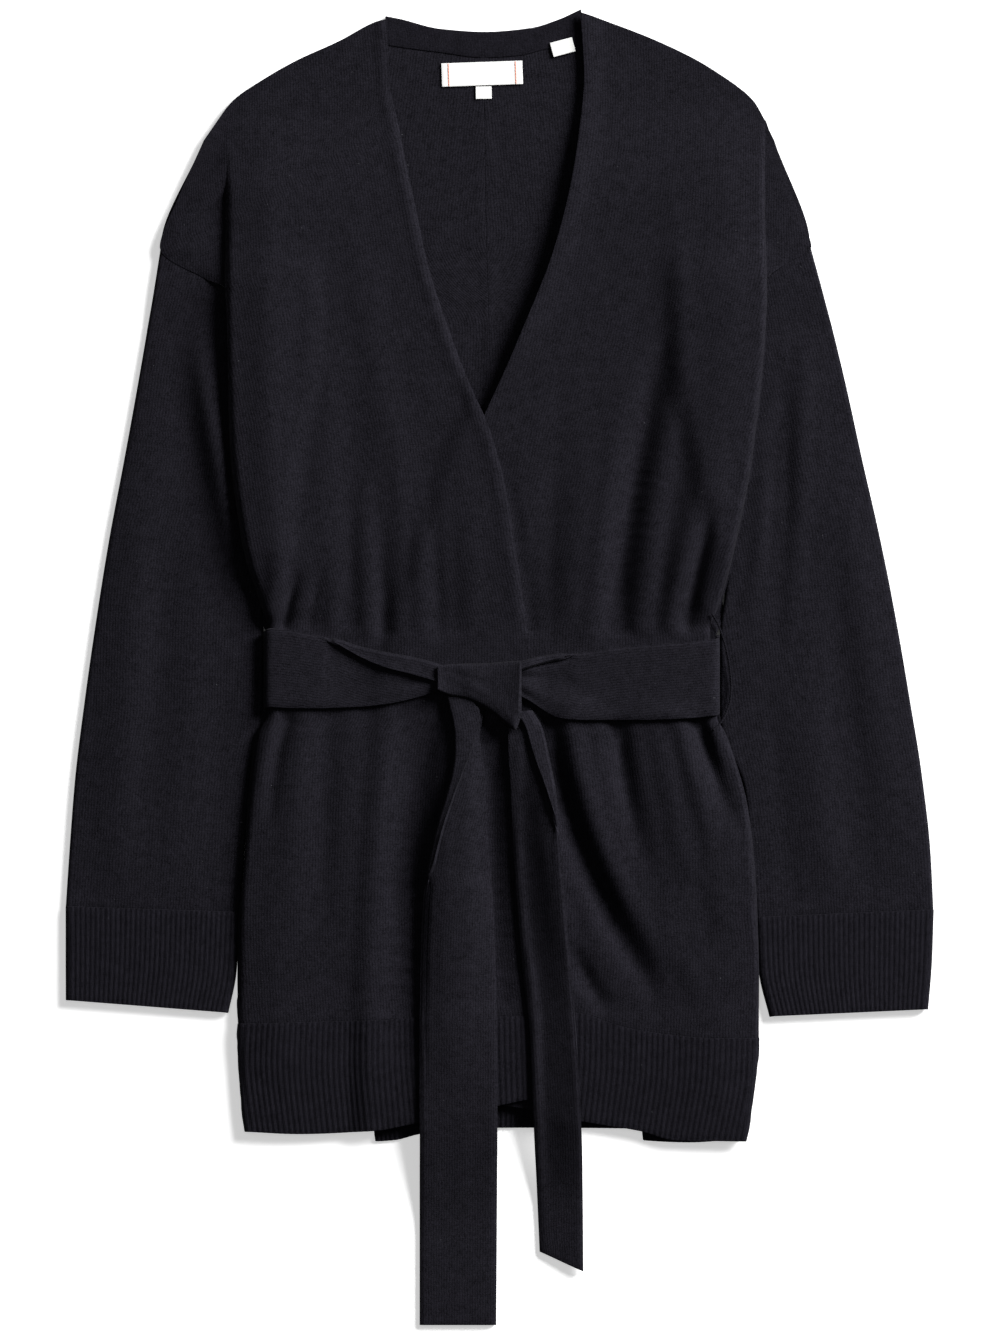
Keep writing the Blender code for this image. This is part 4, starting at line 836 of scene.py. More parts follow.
def knit(name, colour, wale, course, depth, sheen):
    """Fine jersey: columns of small loops, with a soft halo of wool fibre over them.

    Wale and course are the loop's width and height in millimetres.
    """
    tree, shader = new_finish(name, 0.95, sheen, 0.03)
    cut = add_node(tree, "ShaderNodeUVMap", {"uv_map": "cut"})
    apart = add_node(tree, "ShaderNodeSeparateXYZ", links={0: cut.outputs["UV"]})
    place = add_node(tree, "ShaderNodeTexCoord").outputs["Object"]
    # hand-knit unevenness, by which the loops wander; then the wool's fuzz, in real life
    # tufts of half a millimetre: drawn at 1.2 mm, so that they show, with thicker and
    # thinner patches of 6 mm
    wander, fibre, patchy = (
        add_node(tree, "ShaderNodeTexNoise", values=values, links={"Vector": place})
        for values in ({"Scale": 240.0, "Detail": 2.0},
                       {"Scale": 850.0, "Detail": 4.0, "Roughness": 0.85},
                       {"Scale": 160.0, "Detail": 3.0, "Roughness": 0.6}))
    found = {"across": apart.outputs[0], "up": apart.outputs[1],
             "wander": wander.outputs["Fac"], "fibre": fibre.outputs["Fac"],
             "patchy": patchy.outputs["Fac"]}
    # each step's result, what it does, and what to: an earlier result or a number
    for result, operation, one, other in (
            ("moved", "MULTIPLY", "wander", wale * MM * 0.9),
            ("shifted", "ADD", "across", "moved"),
            ("wales", "DIVIDE", "shifted", wale * MM),
            ("in wale", "FRACT", "wales", None),
            ("from middle", "SUBTRACT", "in wale", 0.5),
            ("off middle", "ABSOLUTE", "from middle", None),
            ("courses", "DIVIDE", "up", course * MM),
            ("leg", "ADD", "courses", "off middle"),
            ("in leg", "FRACT", "leg", None),
            ("from half", "SUBTRACT", "in leg", 0.5),
            ("loop", "ABSOLUTE", "from half", None),
            ("turn", "MULTIPLY", "off middle", 3.0),
            ("column round", "COSINE", "turn", None),
            ("loop high", "ADD", "loop", 0.6),
            ("height", "MULTIPLY", "column round", "loop high"),
            ("fibre shade", "MULTIPLY", "fibre", 1.35),
            # painted shade: the loops' height makes the colour lighter on their crests and
            # darker between them
            ("painted loop shade", "MULTIPLY", "height", 0.2),
            ("both shades", "ADD", "fibre shade", "painted loop shade"),
            ("patch shade", "MULTIPLY", "patchy", 0.35),
            ("all shades", "ADD", "both shades", "patch shade"),
            ("shade", "MULTIPLY", "all shades", 0.7)):
        links, values = {0: found[one]}, {}
        if isinstance(other, str):
            links[1] = found[other]
        elif other is not None:
            values[1] = other
        found[result] = add_node(tree, "ShaderNodeMath", {"operation": operation}, values,
                                 links).outputs[0]
    ramp = add_node(tree, "ShaderNodeValToRGB", links={"Fac": found["shade"]})
    for stop, position, tone in zip(ramp.color_ramp.elements, (0.5, 0.86), (0.35, 1.9)):
        stop.position = position
        stop.color = (*[c * tone for c in colour], 1.0)
    # a light speck of lint here and there, about a millimetre long
    lint = add_node(tree, "ShaderNodeTexNoise",
                    values={"Scale": 520.0, "Detail": 1.0, "Distortion": 0.6},
                    links={"Vector": place}).outputs["Fac"]
    speck = add_node(tree, "ShaderNodeMapRange",
                     values={"From Min": 0.80, "From Max": 0.84, "To Max": 0.5},
                     links={"Value": lint}).outputs[0]
    mixed = add_node(tree, "ShaderNodeMix", {"data_type": "RGBA"},
                     links={"Factor": speck, "A": ramp.outputs["Color"]})
    mixed.inputs["B"].default_value = (0.09, 0.09, 0.10, 1.0)
    tree.links.new(mixed.outputs["Result"], shader.inputs["Base Color"])
    rough = add_node(tree, "ShaderNodeBump", values={"Strength": 0.5, "Distance": depth * MM},
                     links={"Height": found["height"]})
    fuzz = add_node(tree, "ShaderNodeBump", values={"Strength": 0.6, "Distance": 0.25 * MM},
                    links={"Height": found["fibre"], "Normal": rough.outputs["Normal"]})
    tree.links.new(fuzz.outputs["Normal"], shader.inputs["Normal"])


def satin(name, colour):
    """Woven label satin: close white yarn with a quiet lengthwise gloss."""
    tree, shader = new_finish(name, 0.5, 0.1, 0.4)
    place = add_node(tree, "ShaderNodeTexCoord").outputs["Object"]
    # yarns 0.35 mm apart
    weave = add_node(tree, "ShaderNodeTexWave", {"bands_direction": "Y"},
                     {"Scale": 450.0, "Distortion": 0.4}, {"Vector": place})
    mottle = add_node(tree, "ShaderNodeTexNoise", values={"Scale": 300.0, "Detail": 3.0},
                      links={"Vector": place})
    ramp = add_node(tree, "ShaderNodeValToRGB", links={"Fac": mottle.outputs["Fac"]})
    ramp.color_ramp.elements[0].color = (*[c * 0.88 for c in colour], 1.0)
    ramp.color_ramp.elements[1].color = (*colour, 1.0)
    tree.links.new(ramp.outputs["Color"], shader.inputs["Base Color"])
    bump = add_node(tree, "ShaderNodeBump", values={"Strength": 0.25, "Distance": 0.1 * MM},
                    links={"Height": weave.outputs["Fac"]})
    tree.links.new(bump.outputs["Normal"], shader.inputs["Normal"])


def thread(name, colour, roughness):
    """Spun thread: a tight twist, with painted shade in its grooves and painted highlight on
    its ridges.
    """
    tree, shader = new_finish(name, roughness, 0.015, 0.03)
    place = add_node(tree, "ShaderNodeTexCoord").outputs["Object"]
    # twist ridges 0.5 mm apart
    twist = add_node(tree, "ShaderNodeTexWave", {"bands_direction": "DIAGONAL"},
                     {"Scale": 320.0, "Distortion": 1.0}, {"Vector": place})
    # painted shade and highlight: the colour is darker in the twist's grooves and lighter on
    # its ridges
    ramp = add_node(tree, "ShaderNodeValToRGB", links={"Fac": twist.outputs["Fac"]})
    ramp.color_ramp.elements[0].color = (*[c * 0.7 for c in colour], 1.0)
    ramp.color_ramp.elements[1].color = (*[min(1.0, c * 1.15) for c in colour], 1.0)
    tree.links.new(ramp.outputs["Color"], shader.inputs["Base Color"])
    bump = add_node(tree, "ShaderNodeBump", values={"Strength": 0.4, "Distance": 0.15 * MM},
                    links={"Height": twist.outputs["Fac"]})
    tree.links.new(bump.outputs["Normal"], shader.inputs["Normal"])


def paper(name, colour):
    """Matt background paper, very slightly uneven, with a painted glow."""
    tree, shader = new_finish(name, 1.0, 0.0, 0.0)
    place = add_node(tree, "ShaderNodeTexCoord").outputs["Object"]
    mottle = add_node(tree, "ShaderNodeTexNoise", values={"Scale": 6.0},
                      links={"Vector": place})
    ramp = add_node(tree, "ShaderNodeValToRGB", links={"Fac": mottle.outputs["Fac"]})
    ramp.color_ramp.elements[0].color = (*[c * 0.99 for c in colour], 1.0)
    ramp.color_ramp.elements[1].color = (*colour, 1.0)
    tree.links.new(ramp.outputs["Color"], shader.inputs["Base Color"])
    # painted glow: the paper glows a little, which washes out the shadows cast on it,
    # but not in a box right under the body, so that the gaps between the pieces stay dark
    split = add_node(tree, "ShaderNodeSeparateXYZ", links={"Vector": place})
    across, up = (add_node(tree, "ShaderNodeMath", {"operation": "COMPARE"},
                           {1: middle * MM, 2: half * MM}, {0: split.outputs[axis]})
                  for axis, middle, half in UNDER_BODY)
    under = add_node(tree, "ShaderNodeMath", {"operation": "MULTIPLY"},
                     links={0: across.outputs[0], 1: up.outputs[0]})
    lit = add_node(tree, "ShaderNodeMath", {"operation": "MULTIPLY_ADD"},
                   {1: -PAPER_GLOW, 2: PAPER_GLOW}, {0: under.outputs[0]})
    shader.inputs["Emission Color"].default_value = (1.0, 1.0, 1.0, 1.0)
    tree.links.new(lit.outputs[0], shader.inputs["Emission Strength"])


def stands_for(piece, node):
    """Shows the piece in place of its solid, by hiding the solid."""
    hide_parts(node)


def colour_property(label, about, code):
    """A colour that the maker can change in the panel."""
    return FloatVectorProperty(name=label, description=about, subtype="COLOR", size=3,
                               min=0.0, max=1.0, default=linear(code))


def size_property(label, about, millimetres):
    """A thickness that the maker can change in the panel."""
    return FloatProperty(name=label, description=about, subtype="DISTANCE", unit="LENGTH",
                         min=0.0, default=millimetres * MM)


class CardiganSizes(bpy.types.PropertyGroup):
    """Thicknesses of the cardigan's cloths."""
    jersey_wall: size_property("Jersey", "Thickness of the jersey", 1.6)
    rib_wall: size_property("Rib", "Thickness of the rib knit in its furrows", 2.0)
    rib_height: size_property("Rib height", "How far a rib stands out", 0.4)
    band_wall: size_property("Band", "Thickness of the neckband", 2.2)
    belt_wall: size_property("Belt", "Thickness of the belt", 2.0)
    label_wall: size_property("Label", "Thickness of a folded label", 0.6)
    cell: size_property("Cell", "Grid cell of the panels", 3.0)


class CardiganColours(bpy.types.PropertyGroup):
    """Colours of the cardigan's yarns."""
    jersey: colour_property("Jersey", "Wool of the panels", "17161B")
    rib: colour_property("Rib", "Wool of the ribs", "151419")
    belt: colour_property("Belt", "Wool of the belt", "18171C")
    label: colour_property("Label", "Label satin", "F1F1EF")
    coral: colour_property("Coral", "Label's edge stitching", "E8A08C")
    floor: colour_property("Floor", "Background paper", "F4F4F4")


class CARDIGAN_OT_finishes(bpy.types.Operator):
    """Mixes the yarn, label and paper finishes."""
    bl_idname = "cardigan.finishes"
    bl_label = "Finishes"

    def execute(self, context):
        colours = context.scene.cardigan_colours
        # the real loops are 1.3 mm wide: drawn a little coarser, so that they show
        knit("Fine wool jersey", colours.jersey, 1.9, 1.5, 0.2, 0.015)
        knit("Wool rib knit", colours.rib, 1.05, 1.3, 0.15, 0.015)
        knit("Double wool jersey", colours.belt, 1.7, 1.4, 0.15, 0.015)
        satin("Woven label satin", colours.label)
        thread("Coral stitching thread", colours.coral, 0.7)
        thread("Wool loop thread", colours.jersey, 0.9)
        paper("Matt background paper", colours.floor)
        return {"FINISHED"}


class CARDIGAN_OT_back(bpy.types.Operator):
    """Lays the two halves of the back, the neckband and the back hem's rib."""
    bl_idname = "cardigan.back"
    bl_label = "Back"

    def execute(self, context):
        cell = context.scene.cardigan_sizes.cell / MM
        full = 1.0 + SEAM_PROUD
        across = np.linspace(0.0, 1.0, 41)
        for side, name, node, levels, shoulder in (
                (0, "right_back_cloth", "back_right", BACK_RIGHT_LEVELS, BACK_SHOULDER_RIGHT),
                (1, "left_back_cloth", "back_left", BACK_LEFT_LEVELS, BACK_SHOULDER_LEFT)):
            along = spread(outer_edge(levels, side), 2 * cell)
            x, y = meet(*patch(levels, across, along, shoulder), "left" if side else "right")
            from_seam = 1.0 - (1.0 - across if side else across)
            near_belt = sum(hump(y - middle, width) for middle, width in SIDE_FILLS)
            x = x + FILL_REACH[side] * near_belt * from_seam**8
            proud = 1.0 + SEAM_PROUD * hump(from_seam * BACK_HALF_WIDTH, SEAM_WIDTH)
            piece = cloth(name, x, y, belt_lift(y), wall("jersey") * full,
                          "Fine wool jersey", proud / full)
            stands_for(piece, node)
        across = np.linspace(0.0, 1.0, 61)
        x, y = meet(*patch(NECKBAND_LEVELS, across, np.linspace(0.0, 2.0, 7), NECKLINE,
                           BAND_SEAM), "bottom", "left", "right", lap=BAND_LAP)
        piece = cloth("neckband_cloth", x, y, 0.0 * x, wall("band"), "Wool rib knit")
        stands_for(piece, "neckband")
        across, crest = ribbed(HEM_BACK_RIBS)
        x, y = meet(*patch(HEM_BACK_LEVELS, across, np.linspace(0.0, 2.0, 15), None,
                           HEM_EDGE_BACK), "top")
        piece = cloth("back_hem_rib_cloth", x, y, 0.0 * x, wall("rib"), "Wool rib knit",
                      FURROW_SHARE + (1 - FURROW_SHARE) * crest, rim=RIB_RIM)
        stands_for(piece, "back_hem_rib")
        return {"FINISHED"}


def ribbed(count, plain_share=0.0):
    """Columns across a number of ribs, and how far up a rib each one is."""
    lines = np.linspace(plain_share, 1.0, RIB_COLUMNS * count + 1)
    crest = (0.5 - 0.5 * np.cos(np.linspace(0.0, 2 * math.pi * count, len(lines))))**0.8
    if plain_share:
        plain = np.linspace(0.0, plain_share, PLAIN_COLUMNS + 1)[:-1]
        lines = np.concatenate([plain, lines])
        crest = np.concatenate([0.0 * plain, crest])
    return lines, crest


def rib_full():
    """Thickness of the cloth in a rib's ridge."""
    return wall("rib") + bpy.context.scene.cardigan_sizes.rib_height / MM


def rib_shares(crest):
    """Turns a rib's height at each column into a share of the full thickness."""
    return (wall("rib") + (rib_full() - wall("rib")) * crest) / rib_full()


def flat_tube(levels, end, along, upper, thickness):
    """Inner face of a tube that lies flat, given its upper wall's columns.

    Goes over the upper wall, round the edge, back along the lower wall and round again.
    Returns its plan, its fraction across, and 1 on the upper wall and 0 on the lower.
    """
    lower = np.linspace(1.0, 0.0, 13)
    turn = np.array([0.7, 1.0, 0.7])
    across = np.concatenate([upper, [1.0] * 3, lower, [0.0] * 3, upper[:1]])
    top = np.concatenate([upper * 0 + 1, [0.85, 0.5, 0.15], lower * 0, [0.15, 0.5, 0.85],
                          [1.0]])
    bulge = np.zeros_like(across)
    bulge[len(upper):len(upper) + 3] = TUBE_BULGE * turn
    bulge[-4:-1] = -TUBE_BULGE * turn
    inset = thickness + TUBE_BULGE
    narrow = [(a + inset, b, c - inset, d) for a, b, c, d in levels]
    if end:
        end = [(u, a + inset * (1 - 2 * u), b) for u, a, b in end]
    x, y = patch(narrow, across, along, end)
    return x + bulge, y, across, top


class CARDIGAN_OT_sleeves(bpy.types.Operator):
    """Lays both sleeves as flat tubes, with their ribbed cuffs."""
    bl_idname = "cardigan.sleeves"
    bl_label = "Sleeves"

    def execute(self, context):
        cell = context.scene.cardigan_sizes.cell / MM
        upper = (1 - np.cos(np.linspace(0.0, math.pi, 47))) / 2
        for side, name, node, levels, armhole in (
                (0, "right_sleeve_cloth", "sleeve_right", SLEEVE_RIGHT_LEVELS, ARMHOLE_RIGHT),
                (1, "left_sleeve_cloth", "sleeve_left", SLEEVE_LEFT_LEVELS, ARMHOLE_LEFT)):
            along = spread(outer_edge(levels, side), cell * 1.5)
            x, y, across, top = flat_tube(levels, armhole, along, upper, wall("jersey"))
            x, y = meet(*meet(x, y, "bottom"), "top", lap=SLEEVE_LAP)
            tuck = np.zeros_like(y)
            tuck[-1] = SLEEVE_TUCK
            # the edge beside the belt comes up to it
            inner = np.abs(np.abs(x) - np.abs(x).min(axis=1)[:, None]) < SLEEVE_EDGE
            beside = within(SLEEVE_BESIDE_BELT, y) * inner
            x = x + INWARD[side] * SLEEVE_TO_BELT * beside
            # the outer half is fuller, in long soft waves
            middle = within(SLEEVE_MIDDLE, y)
            outward = np.clip(np.abs(x) - 150.0, 0.0, 100.0) / 100.0
            waves = 0.5 + 0.5 * np.sin(9.0 * across + 0.012 * y)
            arch = np.maximum(np.sin(math.pi * across), 0.0)**0.6
            fuller = SLEEVE_HOLLOW * middle * (0.2 + 0.8 * outward * waves)
            clear = np.abs(x) - np.abs(fold_line(y, side))
            soft = relief(x, y, SLEEVE_FOLDS) * middle * rise(-1.0, 8.0, clear)
            hollow = arch * np.maximum(SLEEVE_LEAST / 2, SLEEVE_LEAST + fuller + soft)
            # almost as high as the shoulder that it is sewn to
            hollow = SLEEVE_EDGE_HOLLOW + hollow + SHOULDER_RISE * rise(*ARMHOLE_BEGINS, y)
            z = wall("jersey") + FLAT_SLACK + top * np.maximum(hollow - tuck, 0.05)
            piece = cloth(name, x, y, z, wall("jersey"), "Fine wool jersey", tube=True,
                          rim=RIB_RIM)
            stands_for(piece, node)
        upper, crest = ribbed(CUFF_RIBS)
        for name, node, levels in (("right_cuff_cloth", "cuff_right", CUFF_RIGHT_LEVELS),
                                   ("left_cuff_cloth", "cuff_left", CUFF_LEFT_LEVELS)):
            x, y, across, top = flat_tube(levels, None, np.linspace(0.0, 2.0, 17), upper,
                                          wall("rib"))
            x, y = meet(x, y, "top", lap=CUFF_LAP)
            z = (wall("rib") + FLAT_SLACK + top * (SLEEVE_EDGE_HOLLOW + SLEEVE_LEAST)
                 + 0.0 * x)
            # the lower wall is plain
            share = rib_shares(np.pad(crest, (0, len(across) - len(crest))))
            piece = cloth(name, x, y, z, rib_full(), "Wool rib knit", share, tube=True,
                          rim=RIB_RIM)
            stands_for(piece, node)
        return {"FINISHED"}


def front_plan(levels, side, cell, shoulder, rib_line):
    """Plan of a front, with columns that follow its rolled side."""
    inward = INWARD[side]
    along = spread(outer_edge(levels, side), cell)
    number = np.arange(len(levels))
    outer_x, outer_y, inner_x = (smooth(number, column(levels, k), along)
                                 for k in (2 * side, 2 * side + 1, 2 - 2 * side))
    width = np.abs(inner_x - outer_x)
    ledge = np.clip(inward * (fold_line(outer_y, side) - outer_x), 1.4, 40.0)
    narrowed = (1.0 - np.minimum(1.0, LEDGE_WIDTH / ledge))[:, None]
    ledge = (ledge / width)[:, None]
    near = np.array(ROLL_COLUMNS) / FRONT_WIDTH
    steps = np.concatenate([near, np.linspace(near[-1], 1.0, round(FRONT_WIDTH / cell))[1:]])
    across = np.concatenate([0.0 * ledge, 0.5 * ledge, ledge + (1 - ledge) * steps], axis=1)
    if side:
        across = 1.0 - across[:, ::-1]
    bottom = [(u, a, b + GAP) for u, a, b in rib_line]
    x, y = patch(levels, across, along, shoulder, bottom)
    outside = np.minimum(inward * (x - fold_line(y, side)), 0.0)
    drawn_in = outside * narrowed * within(FRONT_BESIDE_SLEEVE, y)
    return meet(x - inward * drawn_in, y, "bottom")


class CARDIGAN_OT_fronts(bpy.types.Operator):
    """Lays the two fronts, the wearer's right one over the left, with their hem ribs."""
    bl_idname = "cardigan.fronts"
    bl_label = "Fronts"

    def execute(self, context):
        cell = context.scene.cardigan_sizes.cell / MM
        for name, node, levels, side, shoulder, rib_line, surface, under in (
                ("left_front_cloth", "front_left", FRONT_LEFT_LEVELS, 1, SHOULDER_LEFT,
                 RIB_LINE_LEFT, underlap, "left_back_cloth"),
                ("right_front_cloth", "front_right", FRONT_RIGHT_LEVELS, 0, SHOULDER_RIGHT,
                 RIB_LINE_RIGHT, overlap, "left_front_cloth")):
            x, y = front_plan(levels, side, cell, shoulder, rib_line)
            piece = cloth(name, x, y, surface(x, y), wall("jersey"), "Fine wool jersey",
                          rim=FRONT_RIM)
            stands_for(piece, node)
        along = np.linspace(0.0, 2.0, 21)
        for name, node, levels, top, bottom, plain_share, count, surface in (
                ("left_hem_rib_cloth", "front_left_hem_rib", HEM_LEFT_LEVELS, RIB_LINE_LEFT,
                 HEM_EDGE_LEFT, 0.42, HEM_LEFT_RIBS, underlap),
                ("right_hem_rib_cloth", "front_right_hem_rib", HEM_RIGHT_LEVELS,
                 RIB_LINE_RIGHT, HEM_EDGE_RIGHT, 0.0, HEM_RIGHT_RIBS, overlap)):
            across, crest = ribbed(count, plain_share)
            x, y = meet(*patch(levels, across, along, top, bottom), "top")
            piece = cloth(name, x, y, surface(x, y), rib_full(), "Wool rib knit",
                          rib_shares(crest), rim=RIB_RIM)
            stands_for(piece, node)
        return {"FINISHED"}


def strip_section(edge, far, flap):
    """One cut across a belt strip, from its far edge round the fold to the flap.

    Returns places across the strip, and heights of the wall's middle above its bed.
    """
    inward = 1.0 if far > edge else -1.0
    width = abs(far - edge)
    half = wall("belt") / 2
    radius = half + FOLD_ROOM
    turn = np.linspace(0.0, math.pi, 9)
    back = np.linspace(0.0, 1.0, 9)[1:]
    reach = max(flap, radius * 1.6)
    folded = np.concatenate([np.linspace(width, radius * 1.05, 16), radius - radius
                             * np.sin(turn), np.linspace(radius, reach, 9)[1:]])
    folded_z = np.concatenate([np.full(16, half), half + radius - radius * np.cos(turn),
                               half + 2 * radius + FLAP_LIFT * back**2])
    flat = np.concatenate([np.linspace(width, 5.0, 17)[:16], np.linspace(5.0, 0.0, 17)])
    turned = float(rise(0.0, FLAP_TURNS, flap))
    places = edge + inward * (flat + turned * (folded - flat))
    # the doubled cloth is fuller in the middle than at its edges
    flat_z = half + CUSHION * (1 - hump(np.minimum(flat, width - flat), CUSHION_EDGE))
    return places, flat_z + turned * (folded_z - flat_z)


def fine_stations(stations, cell):
    """Belt stations with more between them, on smooth curves through them all."""
    at = np.array(column(stations, 0))
    count = max(2, round(abs(at[-1] - at[0]) / cell))
    lines = np.linspace(0.0, 1.0, count)
    share = (at - at[0]) / (at[-1] - at[0])
    return np.stack([at[0] + (at[-1] - at[0]) * lines]
                    + [smooth(share, column(stations, k), lines) for k in (1, 2, 3)], axis=1)


def side_wrap(rows, outer_x):
    """Carries a stretch down the body's side, to the belt behind it."""
    x, y, z = rows[-1]
    wall_x = outer_x - math.copysign(wall("belt") / 2, outer_x)
    behind = BELT_MIDDLE_Y + (y - (y.min() + y.max()) / 2) * BELT_WIDTH / np.ptp(y)
    foot = wall("band") + GAP
    for away, down in SIDE_TURN:
        rows.append((wall_x + (x - wall_x) * away, y + (behind - y) * down,
                     z + (foot - z) * down))
    return rows


def lay_strip(name, rows):
    """Makes a belt strip of its rows."""
    x, y, z = (np.array([row[k] for row in rows]) for k in range(3))
    facing_up = np.cross((x[1, 0] - x[0, 0], y[1, 0] - y[0, 0]),
                         (x[0, 1] - x[0, 0], y[0, 1] - y[0, 0])) < 0
    if not facing_up:
        x, y, z = x[:, ::-1], y[:, ::-1], z[:, ::-1]
    return cloth(name, x, y, z, wall("belt"), "Double wool jersey", strip=True,
                 rim=BELT_RIM)


class CARDIGAN_OT_belt(bpy.types.Operator):
    """Lays the belt behind the body, across both fronts, and its hanging ends."""
    bl_idname = "cardigan.belt"
    bl_label = "Belt"

    def execute(self, context):
        low = BELT_MIDDLE_Y - BELT_WIDTH / 2
        x = np.linspace(BELT_LEFT_X, BELT_RIGHT_X, 41)[None, :]
        y = np.linspace(low, low + BELT_WIDTH, 13)[:, None]
        piece = cloth("back_belt_cloth", x, y, 0.0 * x * y, wall("band"),
                      "Double wool jersey")
        stands_for(piece, "belt_back")
        fronts = ("right_front_cloth", "left_front_cloth")
        trees = trees_of(fronts)
        for name, node, stations, outer_x in (
                ("right_belt_cloth", "belt_right_stretch", BELT_RIGHT_STATIONS, BELT_LEFT_X),
                ("left_belt_cloth", "belt_left_stretch", BELT_LEFT_STATIONS, BELT_RIGHT_X)):
            x, y, z, under = self.rows(stations, trees, BELT_REACH, along_x=True)
            z = z + settled(under, BELT_SETTLES) + BELT_SLACK + relief(x, y, BELT_CREASES)
            rows = side_wrap(list(zip(x, y, z)), outer_x)
            stands_for(lay_strip(name, rows), node)
        under_tails = fronts + ("right_hem_rib_cloth", "left_hem_rib_cloth",
                                "back_hem_rib_cloth")
        trees = trees_of(under_tails)
        for name, node, stations, slant in (
                ("front_tail_cloth", "belt_tail_front", TAIL_FRONT_STATIONS, 0.0),
                ("back_tail_cloth", "belt_tail_back", TAIL_BACK_STATIONS, TAIL_BACK_SLANT)):
            x, y, z, under = self.rows(stations, trees, TAIL_REACH, along_x=False)
            z = z + settled(eased(under, y, TAIL_SLOPE), TAIL_SETTLES) + BELT_SLACK
            if node == "belt_tail_back":
                lift = smooth(column(TAIL_BACK_LEAN, 0), column(TAIL_BACK_LEAN, 1), y)
                lean = (x - x[:, :1]) / (stations[0][1] - stations[0][2])
                z = z + lift * np.clip(lean * 0.6, 0.0, 1.2)
            end = rise(stations[-1][0] + 24.0, stations[-1][0], y)
            edge, far = x[-1, -1], x[-1, 0]
            y = y - slant * end * (x - far) / (edge - far)
            stands_for(lay_strip(name, list(zip(x, y, z))), node)
        return {"FINISHED"}

    def rows(self, stations, trees, reach, along_x):
        """Plan and section heights of a strip, and the height of what it lies on."""
        table = []
        for at, edge, far, flap in fine_stations(stations, BELT_CELL):
            places, heights = strip_section(edge, far, flap)
            level = np.full_like(places, at)
            table.append((level, places, heights) if along_x else (places, level, heights))
        x, y, z = (np.array([row[k] for row in table]) for k in range(3))
        return x, y, z, laid_on(trees, x, y, reach)


class CARDIGAN_OT_knot(bpy.types.Operator):
    """Lays the half knot over the belt's stretches and ends."""
    bl_idname = "cardigan.knot"
    bl_label = "Knot"

    def execute(self, context):
        number = np.arange(len(KNOT_STATIONS))
        along = np.linspace(0, len(number) - 1, 57)
        x, low, high = (smooth(number, column(KNOT_STATIONS, k), along)[None, :]
                        for k in range(3))
        v = np.linspace(0.0, 1.0, 41)[:, None]
        y = low + (high - low) * v
        x = np.broadcast_to(x, y.shape)
        u = (x - x.min()) / np.ptp(x)
        round_edge = np.sqrt(np.clip(v * (1 - v) * 4, 0, 1)) * np.ones_like(x)
        dome = round_edge**0.7 * (0.7 + 0.3 * np.sin(math.pi * u))
        below = ("right_front_cloth", "left_front_cloth", "right_belt_cloth",
                 "left_belt_cloth", "front_tail_cloth", "back_tail_cloth")
        level = even_bed(laid_on(trees_of(below), x, y, KNOT_REACH), u, v)
        full = KNOT_RIM + KNOT_CROWN + KNOT_ROOM
        taper = KNOT_START + (1 - KNOT_START) * rise(0.0, KNOT_FULL_AT, u)
        share = (KNOT_RIM + KNOT_CROWN * dome) * taper
        share = share + relief(x, y, KNOT_CREASES) * round_edge
        piece = cloth("knot_cloth", x, y, level, full, "Double wool jersey",
                      share / full, rim=BELT_RIM)
        stands_for(piece, "belt_knot")
        return {"FINISHED"}


class CARDIGAN_OT_thread_loop(bpy.types.Operator):
    """Twists the two threads of the belt loop at the wearer's left side."""
    bl_idname = "cardigan.thread_loop"
    bl_label = "Thread loop"

    def execute(self, context):
        number = np.arange(len(LOOP_ROUTE))
        at = np.linspace(0, len(LOOP_ROUTE) - 1, 181)
        route = np.array(LOOP_ROUTE)
        ends = [0, -1]
        front = laid_on(trees_of(("left_front_cloth",)), route[ends, 0], route[ends, 1],
                        LOOP_RADIUS)
        route[ends, 2] = front + LOOP_RADIUS
        x, y, z = (smooth(number, route[:, k], at) for k in range(3))
        curve = bpy.data.curves.new("thread_loop", "CURVE")
        curve.dimensions = "3D"
        curve.bevel_depth = THREAD_RADIUS * MM
        curve.bevel_resolution = 2
        curve.use_fill_caps = True
        travel = np.concatenate([[0.0], np.cumsum(np.hypot(np.diff(x), np.diff(y)))])
        turn = 2 * math.pi * travel / THREAD_TWIST
        for phase in (0.0, math.pi):
            strand = curve.splines.new("POLY")
            strand.points.add(len(at) - 1)
            side = THREAD_RADIUS * np.cos(turn + phase)
            lift = THREAD_RADIUS * np.sin(turn + phase)
            for point, px, py, pz in zip(strand.points, x + side, y, z + lift):
                point.co = (px * MM, py * MM, pz * MM, 1.0)
        piece = bpy.data.objects.new("thread_loop", curve)
        context.collection.objects.link(piece)
        bpy.ops.object.select_all(action="DESELECT")
        piece.select_set(True)
        context.view_layer.objects.active = piece
        bpy.ops.object.convert(target="MESH")
        piece = context.view_layer.objects.active
        piece.data.materials.append(bpy.data.materials["Wool loop thread"])
        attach(piece, "root")
        stands_for(piece, "belt_loop")
        return {"FINISHED"}


